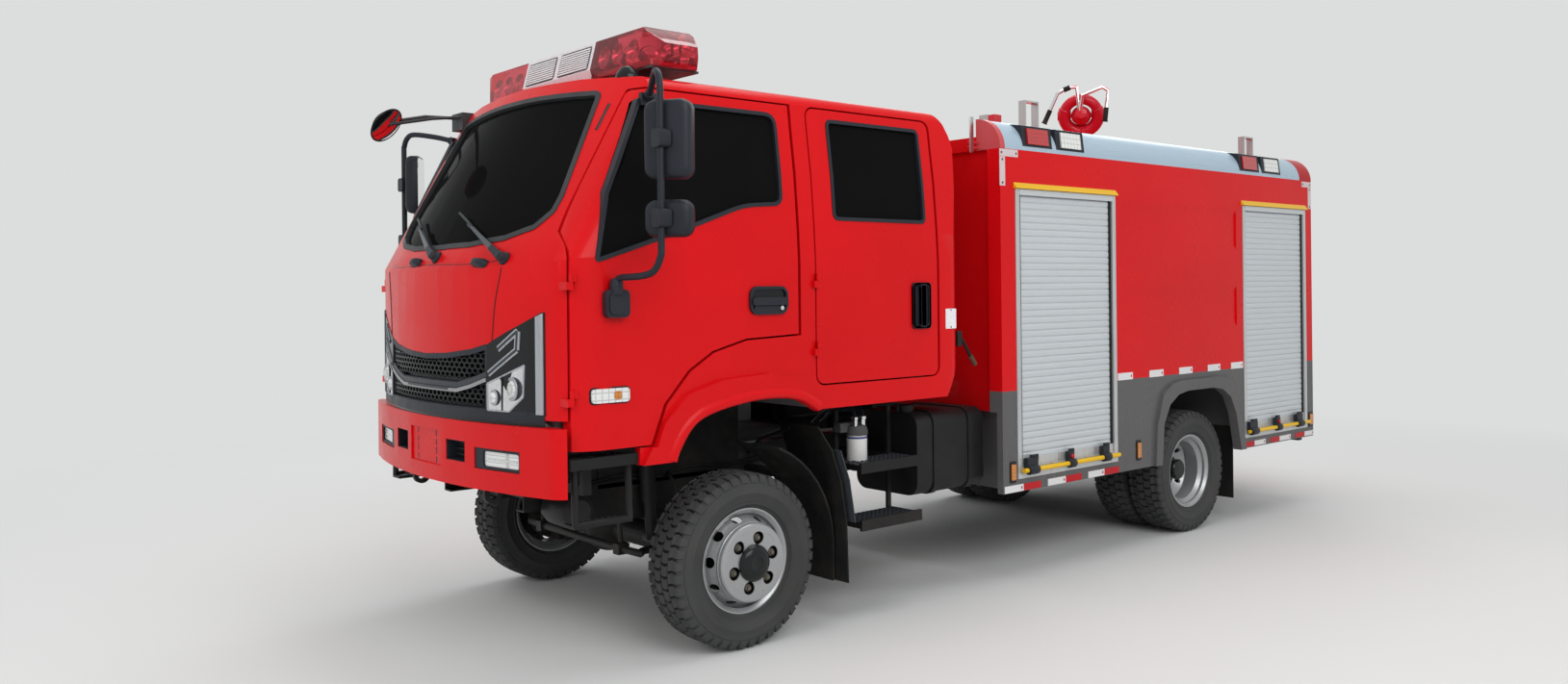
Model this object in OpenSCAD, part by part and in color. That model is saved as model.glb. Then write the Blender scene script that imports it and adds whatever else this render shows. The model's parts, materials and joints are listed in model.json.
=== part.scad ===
// Crew cab fire truck with a locker body, roller shutters and a roof water cannon.
// Units are millimetres. X points forward, Y to the truck's left, Z up.
// Inside the modules X is counted from the front axle; place() moves all to the middle.

/* [Wheels] */
// Front axle to rear axle
wheelbase = 3650; // [3550:10:3900]
// Outer radius of a tyre
tyre_r = 394; // [380:1:400]
// Width of a tyre
tyre_w = 244; // [225:1:250]
// Middle of a front tyre from the truck's middle
front_wheel_y = 876; // [860:1:885]
// Middle of a pair of rear tyres from the truck's middle
rear_wheel_y = 745; // [735:1:750]
// Distance between the two tyres of a rear pair
twin_step = 270; // [262:1:280]

/* [Cab] */
// Half width of the cab at the doors
cab_w = 1000; // [990:1:1010]
// Thickness of cab walls and doors
cab_wall = 40; // [36:1:42]
// Gap round a door
door_gap = 8; // [7:1:9]
// Extra gap behind a door, for its swing
swing_gap = 8; // [8:1:10]
// Angle of the windscreen from upright
screen_tilt = 29; // [28.5:0.1:29.5]
// Height of the cab roof at its middle
roof_z = 2580; // [2575:1:2590]

/* [Body] */
// Half width of the locker body
box_w = 1050; // [1045:1:1080]
// Height of the side panels' top edge
box_top = 2365; // [2330:1:2400]
// Rear end of the locker body behind the rear axle
box_tail = 1560; // [1540:1:1640]
// Thickness of the body walls
box_wall = 40; // [34:1:44]
// Radius of the silver moulding along the roof edge
cove_r = 170; // [150:1:175]
// Height of one shutter slat
slat_h = 47; // [42:1:55]

/* [Water cannon] */
// Distance of the cannon behind the front axle
cannon_back = 3850; // [3700:10:3900]
// Radius of the ring of the cannon's waterway
cannon_ring = 122; // [115:1:130]

/* [Hidden] */
// Part to draw; "all" shows the whole truck
bumper_x = 1070;
tail_end = 1625;
axle_x = (wheelbase + tail_end - bumper_x) / 2;
axle_z = tyre_r;
rear_x = -wheelbase;

// Frame rails
rail_y = 380;
rail_b = 70;
rail_z0 = 640;
rail_z1 = 830;
rail_t = 8;
rail_front = 800;
horn_x = 940;
eye_x = 930;
eye_z = 735;
rail_rear = rear_x - 1520;

// Rim sizes
bead_r = 222;
flange_r = 236;
rim_half = 95;
pcd_r = 111.125;
spindle_r = 35;
fit_gap = 0.3;

// Steering
king_y = 700;
arm_x = -190;

// Cab outline in plan
nose_x = 1060;
bow_r = 2600;
corner_r = 180;
cab_rear = -1430;
rear_r = 90;
sill_z = 1045;
belt_z = 1750;
split_z = 2520;
corner_x = nose_x - bow_r + sqrt(pow(bow_r - corner_r, 2) - pow(cab_w - corner_r, 2));
corner_a = asin((cab_w - corner_r) / (bow_r - corner_r));

// Front edge of a front door, and its inner edge where it wraps the windscreen post
door_x = round(corner_x + 123);
pillar_y = 832;

// Windscreen surface, counted square to the glass
glass_x = 1010 * cos(screen_tilt) + 1800 * sin(screen_tilt);
glass_r = 3200;
post_r = 140;
post_x = glass_x - glass_r + sqrt(pow(glass_r - post_r, 2) - pow(cab_w - post_r, 2));
post_a = asin((cab_w - post_r) / (glass_r - post_r));

// Locker body
box_front = -1690;
box_rear = rear_x - box_tail;
box_z0 = 490;
deck_z0 = 930;
deck_z1 = 970;
inner_w = box_w - box_wall;
shut_z0 = 560;
shut_z1 = 2150;
// Shutter openings in the sides: front edge, rear edge
SHUT = [[box_front - 120, box_front - 1050], [rear_x - 570, box_rear + 100]];
SHUT_FRONT = 0;
SHUT_REAR = 1;
rear_shut_w = 620;
rear_shut_z0 = 985;
arch_top = 935;
arch_half = 455;

// Roof lamps: middle along X, 1 for red and 0 for clear
LAMPS = [[box_front - 325, 1], [box_front - 625, 0], [box_rear + 880, 1], [box_rear + 580, 0]];
LAMP_X = 0;
LAMP_RED = 1;
lamp_l = 260;

// Colours
red = [0.78, 0.03, 0.04];
grey = [0.33, 0.34, 0.36];
black = [0.05, 0.05, 0.055];
steel = [0.70, 0.71, 0.73];
silver = [0.72, 0.76, 0.80];
glass_c = [0.10, 0.11, 0.12, 0.6];
yellow = [0.90, 0.72, 0.05];
rubber = [0.04, 0.04, 0.04];

// General helpers

module place() {
  translate([axle_x, 0, 0]) children();
}

module both() {
  children();
  mirror([0, 1, 0]) children();
}

module right() {
  mirror([0, 1, 0]) children();
}

// A box from its low corner to its high corner
module block(lo, hi) {
  translate(lo) cube(hi - lo);
}

// A plane shape in X and Z, drawn out along Y
module along_y(y0, y1) {
  translate([0, y1, 0]) rotate([90, 0, 0]) linear_extrude(y1 - y0) children();
}

// A plane shape in Y and Z, drawn out along X
module along_x(x0, x1) {
  translate([x0, 0, 0]) rotate([90, 0, 90]) linear_extrude(x1 - x0) children();
}

module bar_y(x, z, y0, y1, r) {
  translate([x, y1, z]) rotate([90, 0, 0]) cylinder(r = r, h = y1 - y0);
}

module bar_x(y, z, x0, x1, r) {
  translate([x0, y, z]) rotate([0, 90, 0]) cylinder(r = r, h = x1 - x0);
}

// A straight twelve-sided rod between two points, run on a little at both ends
module rod(a, b, r) {
  d = b - a;
  l = norm(d);
  translate(a) rotate([0, acos(d[2] / l), atan2(d[1], d[0])])
    translate([0, 0, -0.4 * r]) cylinder(r = r, h = l + 0.8 * r, $fn = 12);
}

// Rods through a row of points
module pipe(pts, r) {
  for (i = [0 : len(pts) - 2]) rod(pts[i], pts[i + 1], r);
}

function arc(c, r, a0, a1, n) =
  [for (i = [0 : n]) let (a = a0 + (a1 - a0) * i / n) [c[0] + r * cos(a), c[1] + r * sin(a)]];

// The other half of an outline, without the points on the middle line
function flip_second(pts) =
  [for (i = [len(pts) - 1 : -1 : 0]) if (abs(pts[i][1]) > 0.01) [pts[i][0], -pts[i][1]]];

function flip_first(pts) =
  [for (i = [len(pts) - 1 : -1 : 0]) if (abs(pts[i][0]) > 0.01) [-pts[i][0], pts[i][1]]];

module rounded(r) {
  offset(r = r, $fn = 24) offset(delta = -r) children();
}

// Cab form: the space inside the skin, drawn in by e

function plan_half(e) = concat(
  arc([nose_x - bow_r, 0], bow_r - e, 0, corner_a, 7),
  arc([corner_x, cab_w - corner_r], corner_r - e, corner_a + 7, 90, 6),
  arc([cab_rear + rear_r, cab_w - rear_r], rear_r - e, 90, 180, 4));

function screen_half(e) = concat(
  arc([glass_x - glass_r, 0], glass_r - e, 0, post_a, 7),
  arc([post_x, cab_w - post_r], post_r - e, post_a + 7, 90, 6),
  [[-3000, cab_w - e]]);

function section_half(e) = concat(
  [[cab_w - e, 850], [cab_w - e, belt_z], [cab_w - 8 - e, belt_z + 150], [cab_w - 28 - e, 2150],
   [cab_w - 56 - e, 2360]],
  arc([cab_w - 135, roof_z - 108], 65 - e, 8, 86, 5),
  [[500, roof_z - 14 - e], [0, roof_z - e]]);

function side_all(e) = concat(
  [[1500, 850], [1500, roof_z + 60]],
  arc([cab_rear + 300, roof_z - 290], 300 - e, 92, 180, 7),
  [[cab_rear + e, 850]]);

module mirrored(half) {
  polygon(concat(half, flip_second(half)));
}

module screen_frame() {
  rotate([0, -screen_tilt, 0]) children();
}

module cab_form(e) {
  intersection() {
    translate([0, 0, 800]) linear_extrude(2000) mirrored(plan_half(e));
    screen_frame() translate([0, 0, -1500]) linear_extrude(5000) mirrored(screen_half(e));
    along_x(-1600, 1400) polygon(concat(section_half(e), flip_first(section_half(e))));
    along_y(-1200, 1200) polygon(side_all(e));
  }
}

module cab_shell(e0, e1) {
  difference() {
    cab_form(e0);
    cab_form(e1);
  }
}

// Cab openings, as plane shapes in X and Z

module front_door_2d() {
  polygon([[door_x, 967], [door_x, 1740], [door_x - 20, 1860], [724, 2090], [612, 2300],
    [536, 2440], [500, 2475],
    [-300, 2475], [-300, 1406], [8, 1394], [194, 1346], [322, 1269], [446, 1134], [511, 967]]);
}

module rear_door_2d() {
  rounded(45) polygon([[-412, 1164], [-412, 2475], [-1240, 2475], [-1240, 1164]]);
}

module front_window_2d() {
  rounded(35) polygon([[775, 1725], [713, 2020], [520, 2432], [-225, 2432], [-225, 2000],
    [0, 1983], [360, 1857]]);
}

module rear_window_2d() {
  rounded(35) polygon([[-530, 1940], [-530, 2432], [-1170, 2432], [-1170, 1940]]);
}

module door_hole_2d(front) {
  for (back = [0, swing_gap]) translate([-back, 0]) offset(delta = door_gap)
    if (front) front_door_2d();
    else rear_door_2d();
}

module door_holes() {
  both() {
    along_y(pillar_y - door_gap - 2, 1200) door_hole_2d(true);
    along_y(560, 1200) door_hole_2d(false);
  }
}

// The front wheel opening under the flare
module flare_in_2d() {
  polygon([[700, 800], [455, 800], [414, 888], [389, 947], [314, 1043], [186, 1095], [-55, 1129],
    [-269, 1114], [-398, 1050], [-425, 800]]);
}

module flare_out_2d() {
  polygon([[567, 888], [461, 1055], [337, 1168], [158, 1219], [-111, 1234], [-281, 1190],
    [-395, 1085], [-412, 1045], [-440, 800], [567, 800]]);
}

// Windscreen outline, in Y and along the glass
module screen_2d() {
  half = [[0, 1090], [300, 1104], [540, 1146], [700, 1212], [770, 1300], [775, 1380], [690, 1915],
    [400, 1908], [0, 1905]];
  rounded(45) polygon(concat(half, flip_first(half)));
}

module screen_block() {
  screen_frame() along_x(1300, 2100) children();
}

module grille_2d() {
  half = [[0, 1108], [509, 1108], [509, 1396], [400, 1372], [200, 1350], [0, 1342]];
  polygon(concat(half, flip_first(half)));
}

module lamp_2d() {
  polygon([[515, 1108], [515, 1394], [600, 1432], [760, 1497], [835, 1530], [850, 1530], [850, 1108]]);
}

// Chassis

module frame_rails() {
  color(black) {
    both() {
      // Open channels
      difference() {
        block([rail_rear, rail_y - rail_b / 2, rail_z0], [rail_front, rail_y + rail_b / 2, rail_z1]);
        block([rail_rear - 1, rail_y - rail_b / 2 - 1, rail_z0 + rail_t],
          [rail_front + 1, rail_y + rail_b / 2 - rail_t, rail_z1 - rail_t]);
      }
      // Horns that carry the bumper, with tow eyes under them
      block([rail_front - 60, rail_y - 30, rail_z1 - 60], [horn_x, rail_y + 30, rail_z1 - 5]);
      difference() {
        union() {
          block([eye_x - 40, rail_y - 12, eye_z], [eye_x + 40, rail_y + 13, rail_z1 - 59]);
          translate([eye_x, rail_y + 13, eye_z]) rotate([90, 0, 0]) cylinder(r = 40, h = 25);
        }
        translate([eye_x, rail_y + 50, eye_z]) rotate([90, 0, 0]) cylinder(r = 20, h = 100);
      }
      // Cab mounts
      block([600, rail_y - 30, rail_z1], [680, rail_y + 30, 980]);
      block([-1330, rail_y - 30, rail_z1], [-1250, rail_y + 30, 1050]);
    }
    // Cross members
    for (x = [700, -1750, -2500, rear_x - 700, rail_rear + 40])
      block([x - 40, -rail_y - rail_b / 2 + 1, rail_z0 + 40],
        [x + 40, rail_y + rail_b / 2 - 1, rail_z1 - 20]);
    // Rear guard
    block([rear_x - tail_end, -930, 440], [rear_x - tail_end + 50, 930, 540]);
    both() {
      block([rear_x - tail_end + 50, rail_y - 30, 460], [rail_rear + 60, rail_y + 30, 540]);
      block([rail_rear + 10, rail_y - 30, 460], [rail_rear + 60, rail_y + 30, rail_z0]);
    }
  }
}

module front_axle() {
  color(black) {
    bar_y(0, axle_z, -610, 610, 65);
    translate([0, -200, axle_z]) sphere(r = 138);
    both() {
      block([-70, rail_y - 34, axle_z + 20], [70, rail_y + 34, axle_z + 121]);
      // Forked end with its king pin
      block([-28, 590, axle_z - 145], [28, king_y - 52, axle_z + 145]);
      for (z = [-145, 110]) block([-55, king_y - 60, axle_z + z], [55, king_y + 40, axle_z + z + 35]);
      translate([0, king_y, axle_z - 130]) cylinder(r = 20, h = 260);
    }
  }
}

module rear_axle() {
  color(black) translate([rear_x, 0, 0]) {
    bar_y(0, axle_z, -470, 470, 85);
    translate([0, 0, axle_z]) sphere(r = 172);
    both() {
      block([-80, rail_y - 34, axle_z + 30], [80, rail_y + 34, axle_z + 121]);
      bar_y(0, axle_z, 440, rear_wheel_y + 110, 40);
    }
  }
}

// One spring: a stack of bent leaves of rising length, and hangers at the ends
leaf_t = 12;
leaf_rise = 60;
leaf_steps = 8;

module leaf_spring(half) {
  seat = axle_z + 121;
  for (i = [1 : 4]) {
    n = 2 * i;
    low = [for (k = [-n : n]) let (x = k / leaf_steps)
      [x * half, seat + (i - 1) * leaf_t + leaf_rise * x * x]];
    high = [for (k = [n : -1 : -n]) let (x = k / leaf_steps)
      [x * half, seat + i * leaf_t + leaf_rise * x * x]];
    along_y(rail_y - 33, rail_y + 33) polygon(concat(low, high));
  }
  for (s = [-1, 1])
    block([s * half - 25, rail_y - 30, seat + 3 * leaf_t + leaf_rise],
      [s * half + 25, rail_y + 30, rail_z0]);
}

module leaf_springs() {
  color(black) both() {
    leaf_spring(500);
    translate([rear_x, 0, 0]) leaf_spring(560);
  }
}

module powertrain() {
  color([0.30, 0.31, 0.33]) {
    block([-330, -270, 620], [560, 270, 950]);
    block([-900, -180, 640], [-320, 180, 860]);
    block([-1560, -200, 560], [-1260, 160, 760]);
    bar_x(0, 700, -1270, -880, 40);
    rod([-1270, -140, 620], [-152, -193, axle_z + 27], 38);
    rod([-1550, 0, 640], [rear_x + 188, 0, axle_z + 22], 42);
    // Seats on the rails
    both() {
      block([100, 265, 700], [180, rail_y + rail_b / 2 - rail_t, 760]);
      block([-1440, 150, 690], [-1380, rail_y + rail_b / 2 - rail_t, 740]);
    }
  }
}

module fuel_tank() {
  union() {
    along_x(-1665, -1150) rounded(70) polygon([[470, 530], [930, 530], [930, 960], [470, 960]]);
    // Straps, filler cap and arms to the rail
    for (x = [-1560, -1290])
      along_x(x - 20, x + 20) rounded(70) polygon([[464, 524], [936, 524], [936, 966], [464, 966]]);
    translate([-1200, 800, 950]) cylinder(r = 45, h = 45);
    for (x = [-1560, -1290]) block([x - 30, rail_y + rail_b / 2, 700], [x + 30, 480, 780]);
  }
}

// The battery box stands where the tank is, on the other side
module battery_box() {
  right() {
    block([-1665, 470, 560], [-1150, 930, 950]);
    block([-1640, 930, 590], [-1175, 945, 920]);
    for (x = [-1560, -1290]) block([x - 30, rail_y + rail_b / 2, 700], [x + 30, 480, 780]);
  }
}

module side_boxes() {
  color(black) {
    fuel_tank();
    battery_box();
  }
}

// Bumper plan, drawn in by e
module bumper_2d(e) {
  r = 3200;
  w = cab_w - 15;
  c = 110;
  cx = bumper_x - r + sqrt(pow(r - c, 2) - pow(w - c, 2));
  a = asin((w - c) / (r - c));
  half = concat(arc([bumper_x - r, 0], r - e, 0, a, 5), arc([cx, w - c], c - e, a + 8, 60, 4));
  polygon(concat(half, flip_second(half)));
}

bumper_z0 = 780;
bumper_z1 = 1062;
fog_y = 592;
fog_half = 152;
fog_z0 = 868;
fog_z1 = 958;
plate_z = 927;

// A layer of the bumper between two depths and two heights
module bumper_layer(e0, e1, z0, z1) {
  translate([0, 0, z0]) linear_extrude(z1 - z0) difference() {
    bumper_2d(e0);
    bumper_2d(e1);
  }
}

module fog_block() {
  block([900, fog_y - fog_half, fog_z0], [1200, fog_y + fog_half, fog_z1]);
}

module bumper() {
  color(red) difference() {
    union() {
      bumper_layer(0, 50, bumper_z0, bumper_z1);
      bumper_layer(0, 60, bumper_z1 - 30, bumper_z1);
      // Bosses on the horns
      both() block([horn_x, rail_y - 30, rail_z1 - 45], [horn_x + 70, rail_y + 30, rail_z1 - 5]);
    }
    // Air holes
    both() block([900, 210, 885], [1200, 370, 975]);
    // Fog lamp pockets
    both() fog_block();
    // Blank plate field and its holes
    block([bumper_x - 12, -165, plate_z - 77], [1200, 165, plate_z + 78]);
    both() translate([900, 105, plate_z]) rotate([0, 90, 0]) cylinder(r = 4, h = 300);
  }
}

// Two steps under a rear door, on posts with arms to the rail
module crew_step() {
  for (z = [440, 720]) {
    block([-1110, 790, z], [-690, 985, z + 30]);
    block([-1110, 985, z - 12], [-690, 1000, z + 42]);
  }
  for (x = [-1095, -730]) {
    block([x, 775, 428], [x + 25, 792, 1000]);
    block([x, rail_y + rail_b / 2, 700], [x + 25, 780, 750]);
  }
}

module front_step() {
  pipe([[838, 930, 900], [838, 940, 665], [585, 940, 665], [585, 930, 900]], 15);
  block([575, 860, 650], [850, 950, 663]);
  block([575, 800, 890], [856, 965, 930]);
  block([700, rail_y + rail_b / 2, 760], [740, 830, 800]);
  block([700, 800, 760], [740, 830, 900]);
}

module cab_steps() {
  color(black) both() {
    crew_step();
    front_step();
  }
}

guard_r = 520;

module mudguards() {
  color(rubber) both() {
    along_y(640, 975) polygon(concat(arc([0, axle_z], guard_r, 112, 178, 8),
      [[-guard_r, 215], [-guard_r - 10, 215]], arc([0, axle_z], guard_r + 10, 178, 112, 8)));
    block([-480, rail_y + rail_b / 2, 690], [-420, 660, 720]);
    // Rear flaps
    block([SHUT[SHUT_REAR][0] + 32, 500, 150], [SHUT[SHUT_REAR][0] + 40, inner_w - 25, 640]);
  }
}

// Locker body

module locker(x0, x1) {
  difference() {
    block([x1, 450, 500], [x0, inner_w, deck_z0 + 1]);
    block([x1 + 25, 475, 525], [x0 - 25, inner_w + 1, deck_z0 + 2]);
  }
}

module body_floor() {
  color(grey) {
    difference() {
      block([box_rear + box_wall, -inner_w, deck_z0], [box_front - 70, inner_w, deck_z1]);
      both() for (s = SHUT) block([s[1] + 25, 475, deck_z0 - 5], [s[0] - 25, inner_w + 1, deck_z1 + 5]);
    }
    both() {
      block([box_rear + 60, rail_y - 35, rail_z1], [box_front - 90, rail_y + 35, deck_z0]);
      for (s = SHUT) locker(s[0] + 32, s[1] - 32);
    }
  }
}

// Rear wheel arch, drawn out by e
module arch_2d(e) {
  h = arch_half + e;
  t = arch_top + e;
  polygon([[rear_x - h - 40, 300], [rear_x - h - 40, 500], [rear_x - h + 20, 740],
    [rear_x - h + 90, t - 75],
    [rear_x - h + 190, t - 18], [rear_x - h + 300, t], [rear_x + h - 300, t], [rear_x + h - 190, t - 18],
    [rear_x + h - 90, t - 75], [rear_x + h - 20, 740], [rear_x + h, 500], [rear_x + h, 300]]);
}

// Pressed fields in the panel between the shutters: low Z, high Z
PRESS = [[1330, 1600], [1850, 2110]];
press_d = 10;

module body_side() {
  difference() {
    union() {
      block([box_rear, inner_w, box_z0], [box_front, box_w, box_top]);
      // Lip round the wheel arch
      intersection() {
        along_y(box_w - 10, box_w + 22) arch_2d(70);
        block([box_rear, 0, box_z0], [box_front, 2000, box_top]);
      }
      // Front corner post
      block([box_front - 70, inner_w - 50, box_z0 + 440], [box_front, inner_w + 1, box_top]);
    }
    along_y(500, 1300) arch_2d(0);
    for (s = SHUT) block([s[1], inner_w - 100, shut_z0], [s[0], box_w + 250, shut_z1]);
    for (p = PRESS) {
      x0 = SHUT[SHUT_FRONT][1] - 80;
      x1 = SHUT[SHUT_REAR][0] + 80;
      along_x(x1, x0) polygon([[box_w - press_d, p[0] + 25], [box_w - press_d, p[1] - 25],
        [box_w + 1, p[1] + 2], [box_w + 1, p[0] - 2]]);
    }
  }
}

module body_sides() {
  color(red) both() body_side();
}

module body_end_walls() {
  color(red) {
    block([box_front - 70, -inner_w + 50, deck_z0], [box_front - 30, inner_w - 50, box_top]);
    difference() {
      block([box_rear, -inner_w, 560], [box_rear + box_wall, inner_w, box_top]);
      block([box_rear - 1, -rear_shut_w, rear_shut_z0], [box_rear + 100, rear_shut_w, shut_z1]);
    }
  }
}

cove_y = box_w - cove_r;
roof_z0 = box_top;
roof_z1 = box_top + 75;

module cove_2d(r) {
  intersection() {
    translate([cove_y, box_top]) circle(r = r);
    translate([cove_y, box_top]) square(r + 1);
  }
}

cap_l = 170;

module body_roof() {
  color(red) {
    block([box_rear, -cove_y, roof_z0], [box_front, cove_y, roof_z1]);
    both() {
      along_x(box_rear, box_rear + cap_l) cove_2d(cove_r + 2);
      along_x(box_front - 40, box_front) cove_2d(cove_r + 2);
    }
    // Seat of the water cannon
    translate([-cannon_back, 0, roof_z1 - 1]) cylinder(r = 120, h = 21);
    difference() {
      translate([-cannon_back, 0, roof_z1]) cylinder(r = 66, h = 105);
      translate([-cannon_back, 0, roof_z1 + 45]) cylinder(r = 40 + fit_gap, h = 100);
    }
  }
}

module roof_coves() {
  color(silver) both() along_x(box_rear + cap_l, box_front - 40) cove_2d(cove_r);
}

// A slatted curtain, drawn up from z0 to z1 with its outer face at y
module curtain_2d(y, z0, z1) {
  n = floor((z1 - z0) / slat_h);
  h = (z1 - z0) / n;
  front = [for (i = [0 : n - 1], k = [0, 1, 2, 3])
    [y - (k == 0 || k == 3 ? 7 : 0), z0 + h * (i + [0.02, 0.25, 0.75, 0.98][k])]];
  polygon(concat([[y - 18, z1], [y - 18, z0]], front));
}

frame_b = 34;

module shutters() {
  color([0.66, 0.69, 0.72]) {
    both() for (s = SHUT)
      along_x(s[1] + frame_b, s[0] - frame_b) curtain_2d(box_w - 10, shut_z0 + 60, shut_z1 - frame_b);
    translate([box_rear + box_w, 0, 0]) rotate([0, 0, 180])
      rotate([0, 0, -90]) along_x(-rear_shut_w + frame_b, rear_shut_w - frame_b)
        curtain_2d(box_w - 10, rear_shut_z0 + 60, shut_z1 - frame_b);
  }
}

module shutter_frames() {
  color(silver) {
    both() for (s = SHUT) difference() {
      block([s[1], inner_w, shut_z0], [s[0], box_w + 6, shut_z1]);
      block([s[1] + frame_b, 0, shut_z0 + 60], [s[0] - frame_b, 2000, shut_z1 - frame_b]);
    }
    difference() {
      block([box_rear - 6, -rear_shut_w, rear_shut_z0], [box_rear + box_wall + 10, rear_shut_w, shut_z1]);
      block([box_rear - 100, -rear_shut_w + frame_b, rear_shut_z0 + 60],
        [box_rear + 200, rear_shut_w - frame_b, shut_z1 - frame_b]);
    }
  }
}

module yellow_bars() {
  color(yellow) {
    both() for (s = SHUT) {
      along_x(s[1] - 10, s[0] + 10) polygon([[box_w, shut_z1 + 2], [box_w + 24, shut_z1 + 2],
        [box_w, shut_z1 + 34]]);
      bar_x(box_w + 30, shut_z0 + 45, s[1] + 20, s[0] - 20, 13);
      for (x = [s[1] + 60, s[0] - 60])
        block([x - 12, box_w + 6, shut_z0 + 36], [x + 12, box_w + 30, shut_z0 + 54]);
    }
    bar_y(box_rear - 32, rear_shut_z0 + 45, -rear_shut_w + 20, rear_shut_w - 20, 13);
    for (y = [-500, 500])
      block([box_rear - 32, y - 12, rear_shut_z0 + 36], [box_rear - 6, y + 12, rear_shut_z0 + 54]);
  }
}

// Roof lamps on the moulding: a wedge of housing with an upright lens
module lamp_bezels() {
  color(black) both() for (l = LAMPS) difference() {
    along_x(l[LAMP_X] - lamp_l / 2, l[LAMP_X] + lamp_l / 2) polygon([[box_w - 4, box_top + 20],
      [box_w, box_top + 25], [box_w - 14, box_top + 140], [box_w - 90, box_top + 152]]);
    along_x(box_rear, box_front) cove_2d(cove_r + 0.3);
  }
}

module lamp_lens(x) {
  along_x(x - 92, x + 92) polygon([[box_w - 1, box_top + 36], [box_w + 8, box_top + 37],
    [box_w - 2.4, box_top + 126], [box_w - 11.4, box_top + 125]]);
}

module white_lamps() {
  color([0.9, 0.9, 0.88]) both() {
    for (l = LAMPS) if (l[LAMP_RED] == 0) lamp_lens(l[LAMP_X]);
    intersection() {
      bumper_layer(22, 42, bumper_z0, bumper_z1);
      fog_block();
    }
  }
}

module red_lamps() {
  color([0.75, 0.02, 0.03]) both() {
    for (l = LAMPS) if (l[LAMP_RED] == 1) lamp_lens(l[LAMP_X]);
    block([box_rear - 24, inner_w - 210, 640], [box_rear, inner_w - 30, 840]);
  }
}

// A loop of flat bar standing on the roof
module roof_loop(x, y, l, h) {
  difference() {
    block([x - l / 2, y - 25, roof_z1], [x + l / 2, y + 25, roof_z1 + h]);
    block([x - l / 2 + 10, y - 50, roof_z1 + 10], [x + l / 2 - 10, y + 50, roof_z1 + h - 10]);
  }
}

module roof_rails() {
  color(steel) {
    both() {
      roof_loop(box_front - 710, cove_y - 200, 130, 290);
      roof_loop(box_rear + 260, cove_y - 200, 130, 270);
      block([box_front - 250, cove_y - 180, roof_z1], [box_front - 235, cove_y - 120, roof_z1 + 160]);
    }
    // Rear ladder
    ladder_y = [50 - inner_w, 310 - inner_w];
    for (y = ladder_y) {
      rod([box_rear - 38, y, 890], [box_rear - 38, y, roof_z1], 14);
      for (z = [920, 1500, 2250]) block([box_rear - 38, y - 10, z], [box_rear, y + 10, z + 20]);
    }
    for (i = [0 : 5])
      rod([box_rear - 38, ladder_y[0], 960 + 280 * i], [box_rear - 38, ladder_y[1], 960 + 280 * i], 11);
  }
}

module water_tank() {
  y = inner_w - 210;
  color(grey) block([SHUT[SHUT_REAR][0] + 60, -y, deck_z1], [SHUT[SHUT_FRONT][1] - 60, y, 2000]);
}

// Cab

// Door hinges, on the left side: axis X and Y, heights, and Y where the leaves meet the skin
HINGES = [[door_x + 5, cab_w - 28, [1150, 1620], cab_w - 100],
  [-408, cab_w + 17, [1300, 1620], cab_w - 10]];
HINGE_X = 0;
HINGE_Y = 1;
HINGE_Z = 2;
HINGE_IN = 3;
hinge_r = 9;
hinge_h = 32;

// The half on the cab, with the pins
module hinge_post(h) {
  for (z = h[HINGE_Z]) {
    translate([h[HINGE_X], h[HINGE_Y], z]) cylinder(r = hinge_r, h = hinge_h);
    translate([h[HINGE_X], h[HINGE_Y], z + 1]) cylinder(r = 4, h = 2 * hinge_h - 5);
    block([h[HINGE_X] + 4, h[HINGE_IN], z], [h[HINGE_X] + 24, h[HINGE_Y] + 4, z + hinge_h]);
  }
}

// The half on the door
module hinge_leaf(h) {
  for (z = h[HINGE_Z]) difference() {
    union() {
      translate([h[HINGE_X], h[HINGE_Y], z + hinge_h + 1]) cylinder(r = hinge_r, h = hinge_h);
      block([h[HINGE_X] - 24, h[HINGE_IN], z + hinge_h + 1],
        [h[HINGE_X] - 4, h[HINGE_Y] + 4, z + 2 * hinge_h + 1]);
    }
    translate([h[HINGE_X], h[HINGE_Y], z]) cylinder(r = 4 + fit_gap, h = 4 * hinge_h);
  }
}

module cab_floor() {
  color(grey) difference() {
    intersection() {
      along_y(-1100, 1100) polygon([[1200, 1150], [905, 1150], [780, 1020], [470, 1020], [400, 1170],
        [-395, 1170], [-420, 1095], [-1500, 1095], [-1500, 1055], [-385, 1055], [-360, 1130],
        [375, 1130], [445, 980], [795, 980], [930, 1110], [1200, 1110]]);
      translate([0, 0, 900]) linear_extrude(400) mirrored(plan_half(cab_wall));
    }
    both() {
      block([-330, cab_w - cab_wall - 8, 900], [940, 1200, 1300]);
      block([-1270, cab_w - cab_wall - 8, 900], [-400, 1200, 1300]);
      block([640, cab_w - 140, 900], [1200, 1200, 1300]);
    }
  }
}

header_x = 460;

module cab_roof() {
  color(red) intersection() {
    cab_shell(0, cab_wall);
    block([-1600, -1200, split_z], [header_x, 1200, 2800]);
  }
}

rear_wall_x = -1250;
rear_wall_y = 905;

module rear_wall_block() {
  block([-1600, -rear_wall_y, 1055], [rear_wall_x, rear_wall_y, split_z]);
}

module rear_pane(e) {
  along_x(-1600, -1300) offset(delta = -e) rounded(50) translate([-600, 1760]) square([1200, 460]);
}

module cab_rear_wall() {
  color(red) difference() {
    intersection() {
      cab_shell(0, cab_wall);
      rear_wall_block();
    }
    rear_pane(0);
  }
}

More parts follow.
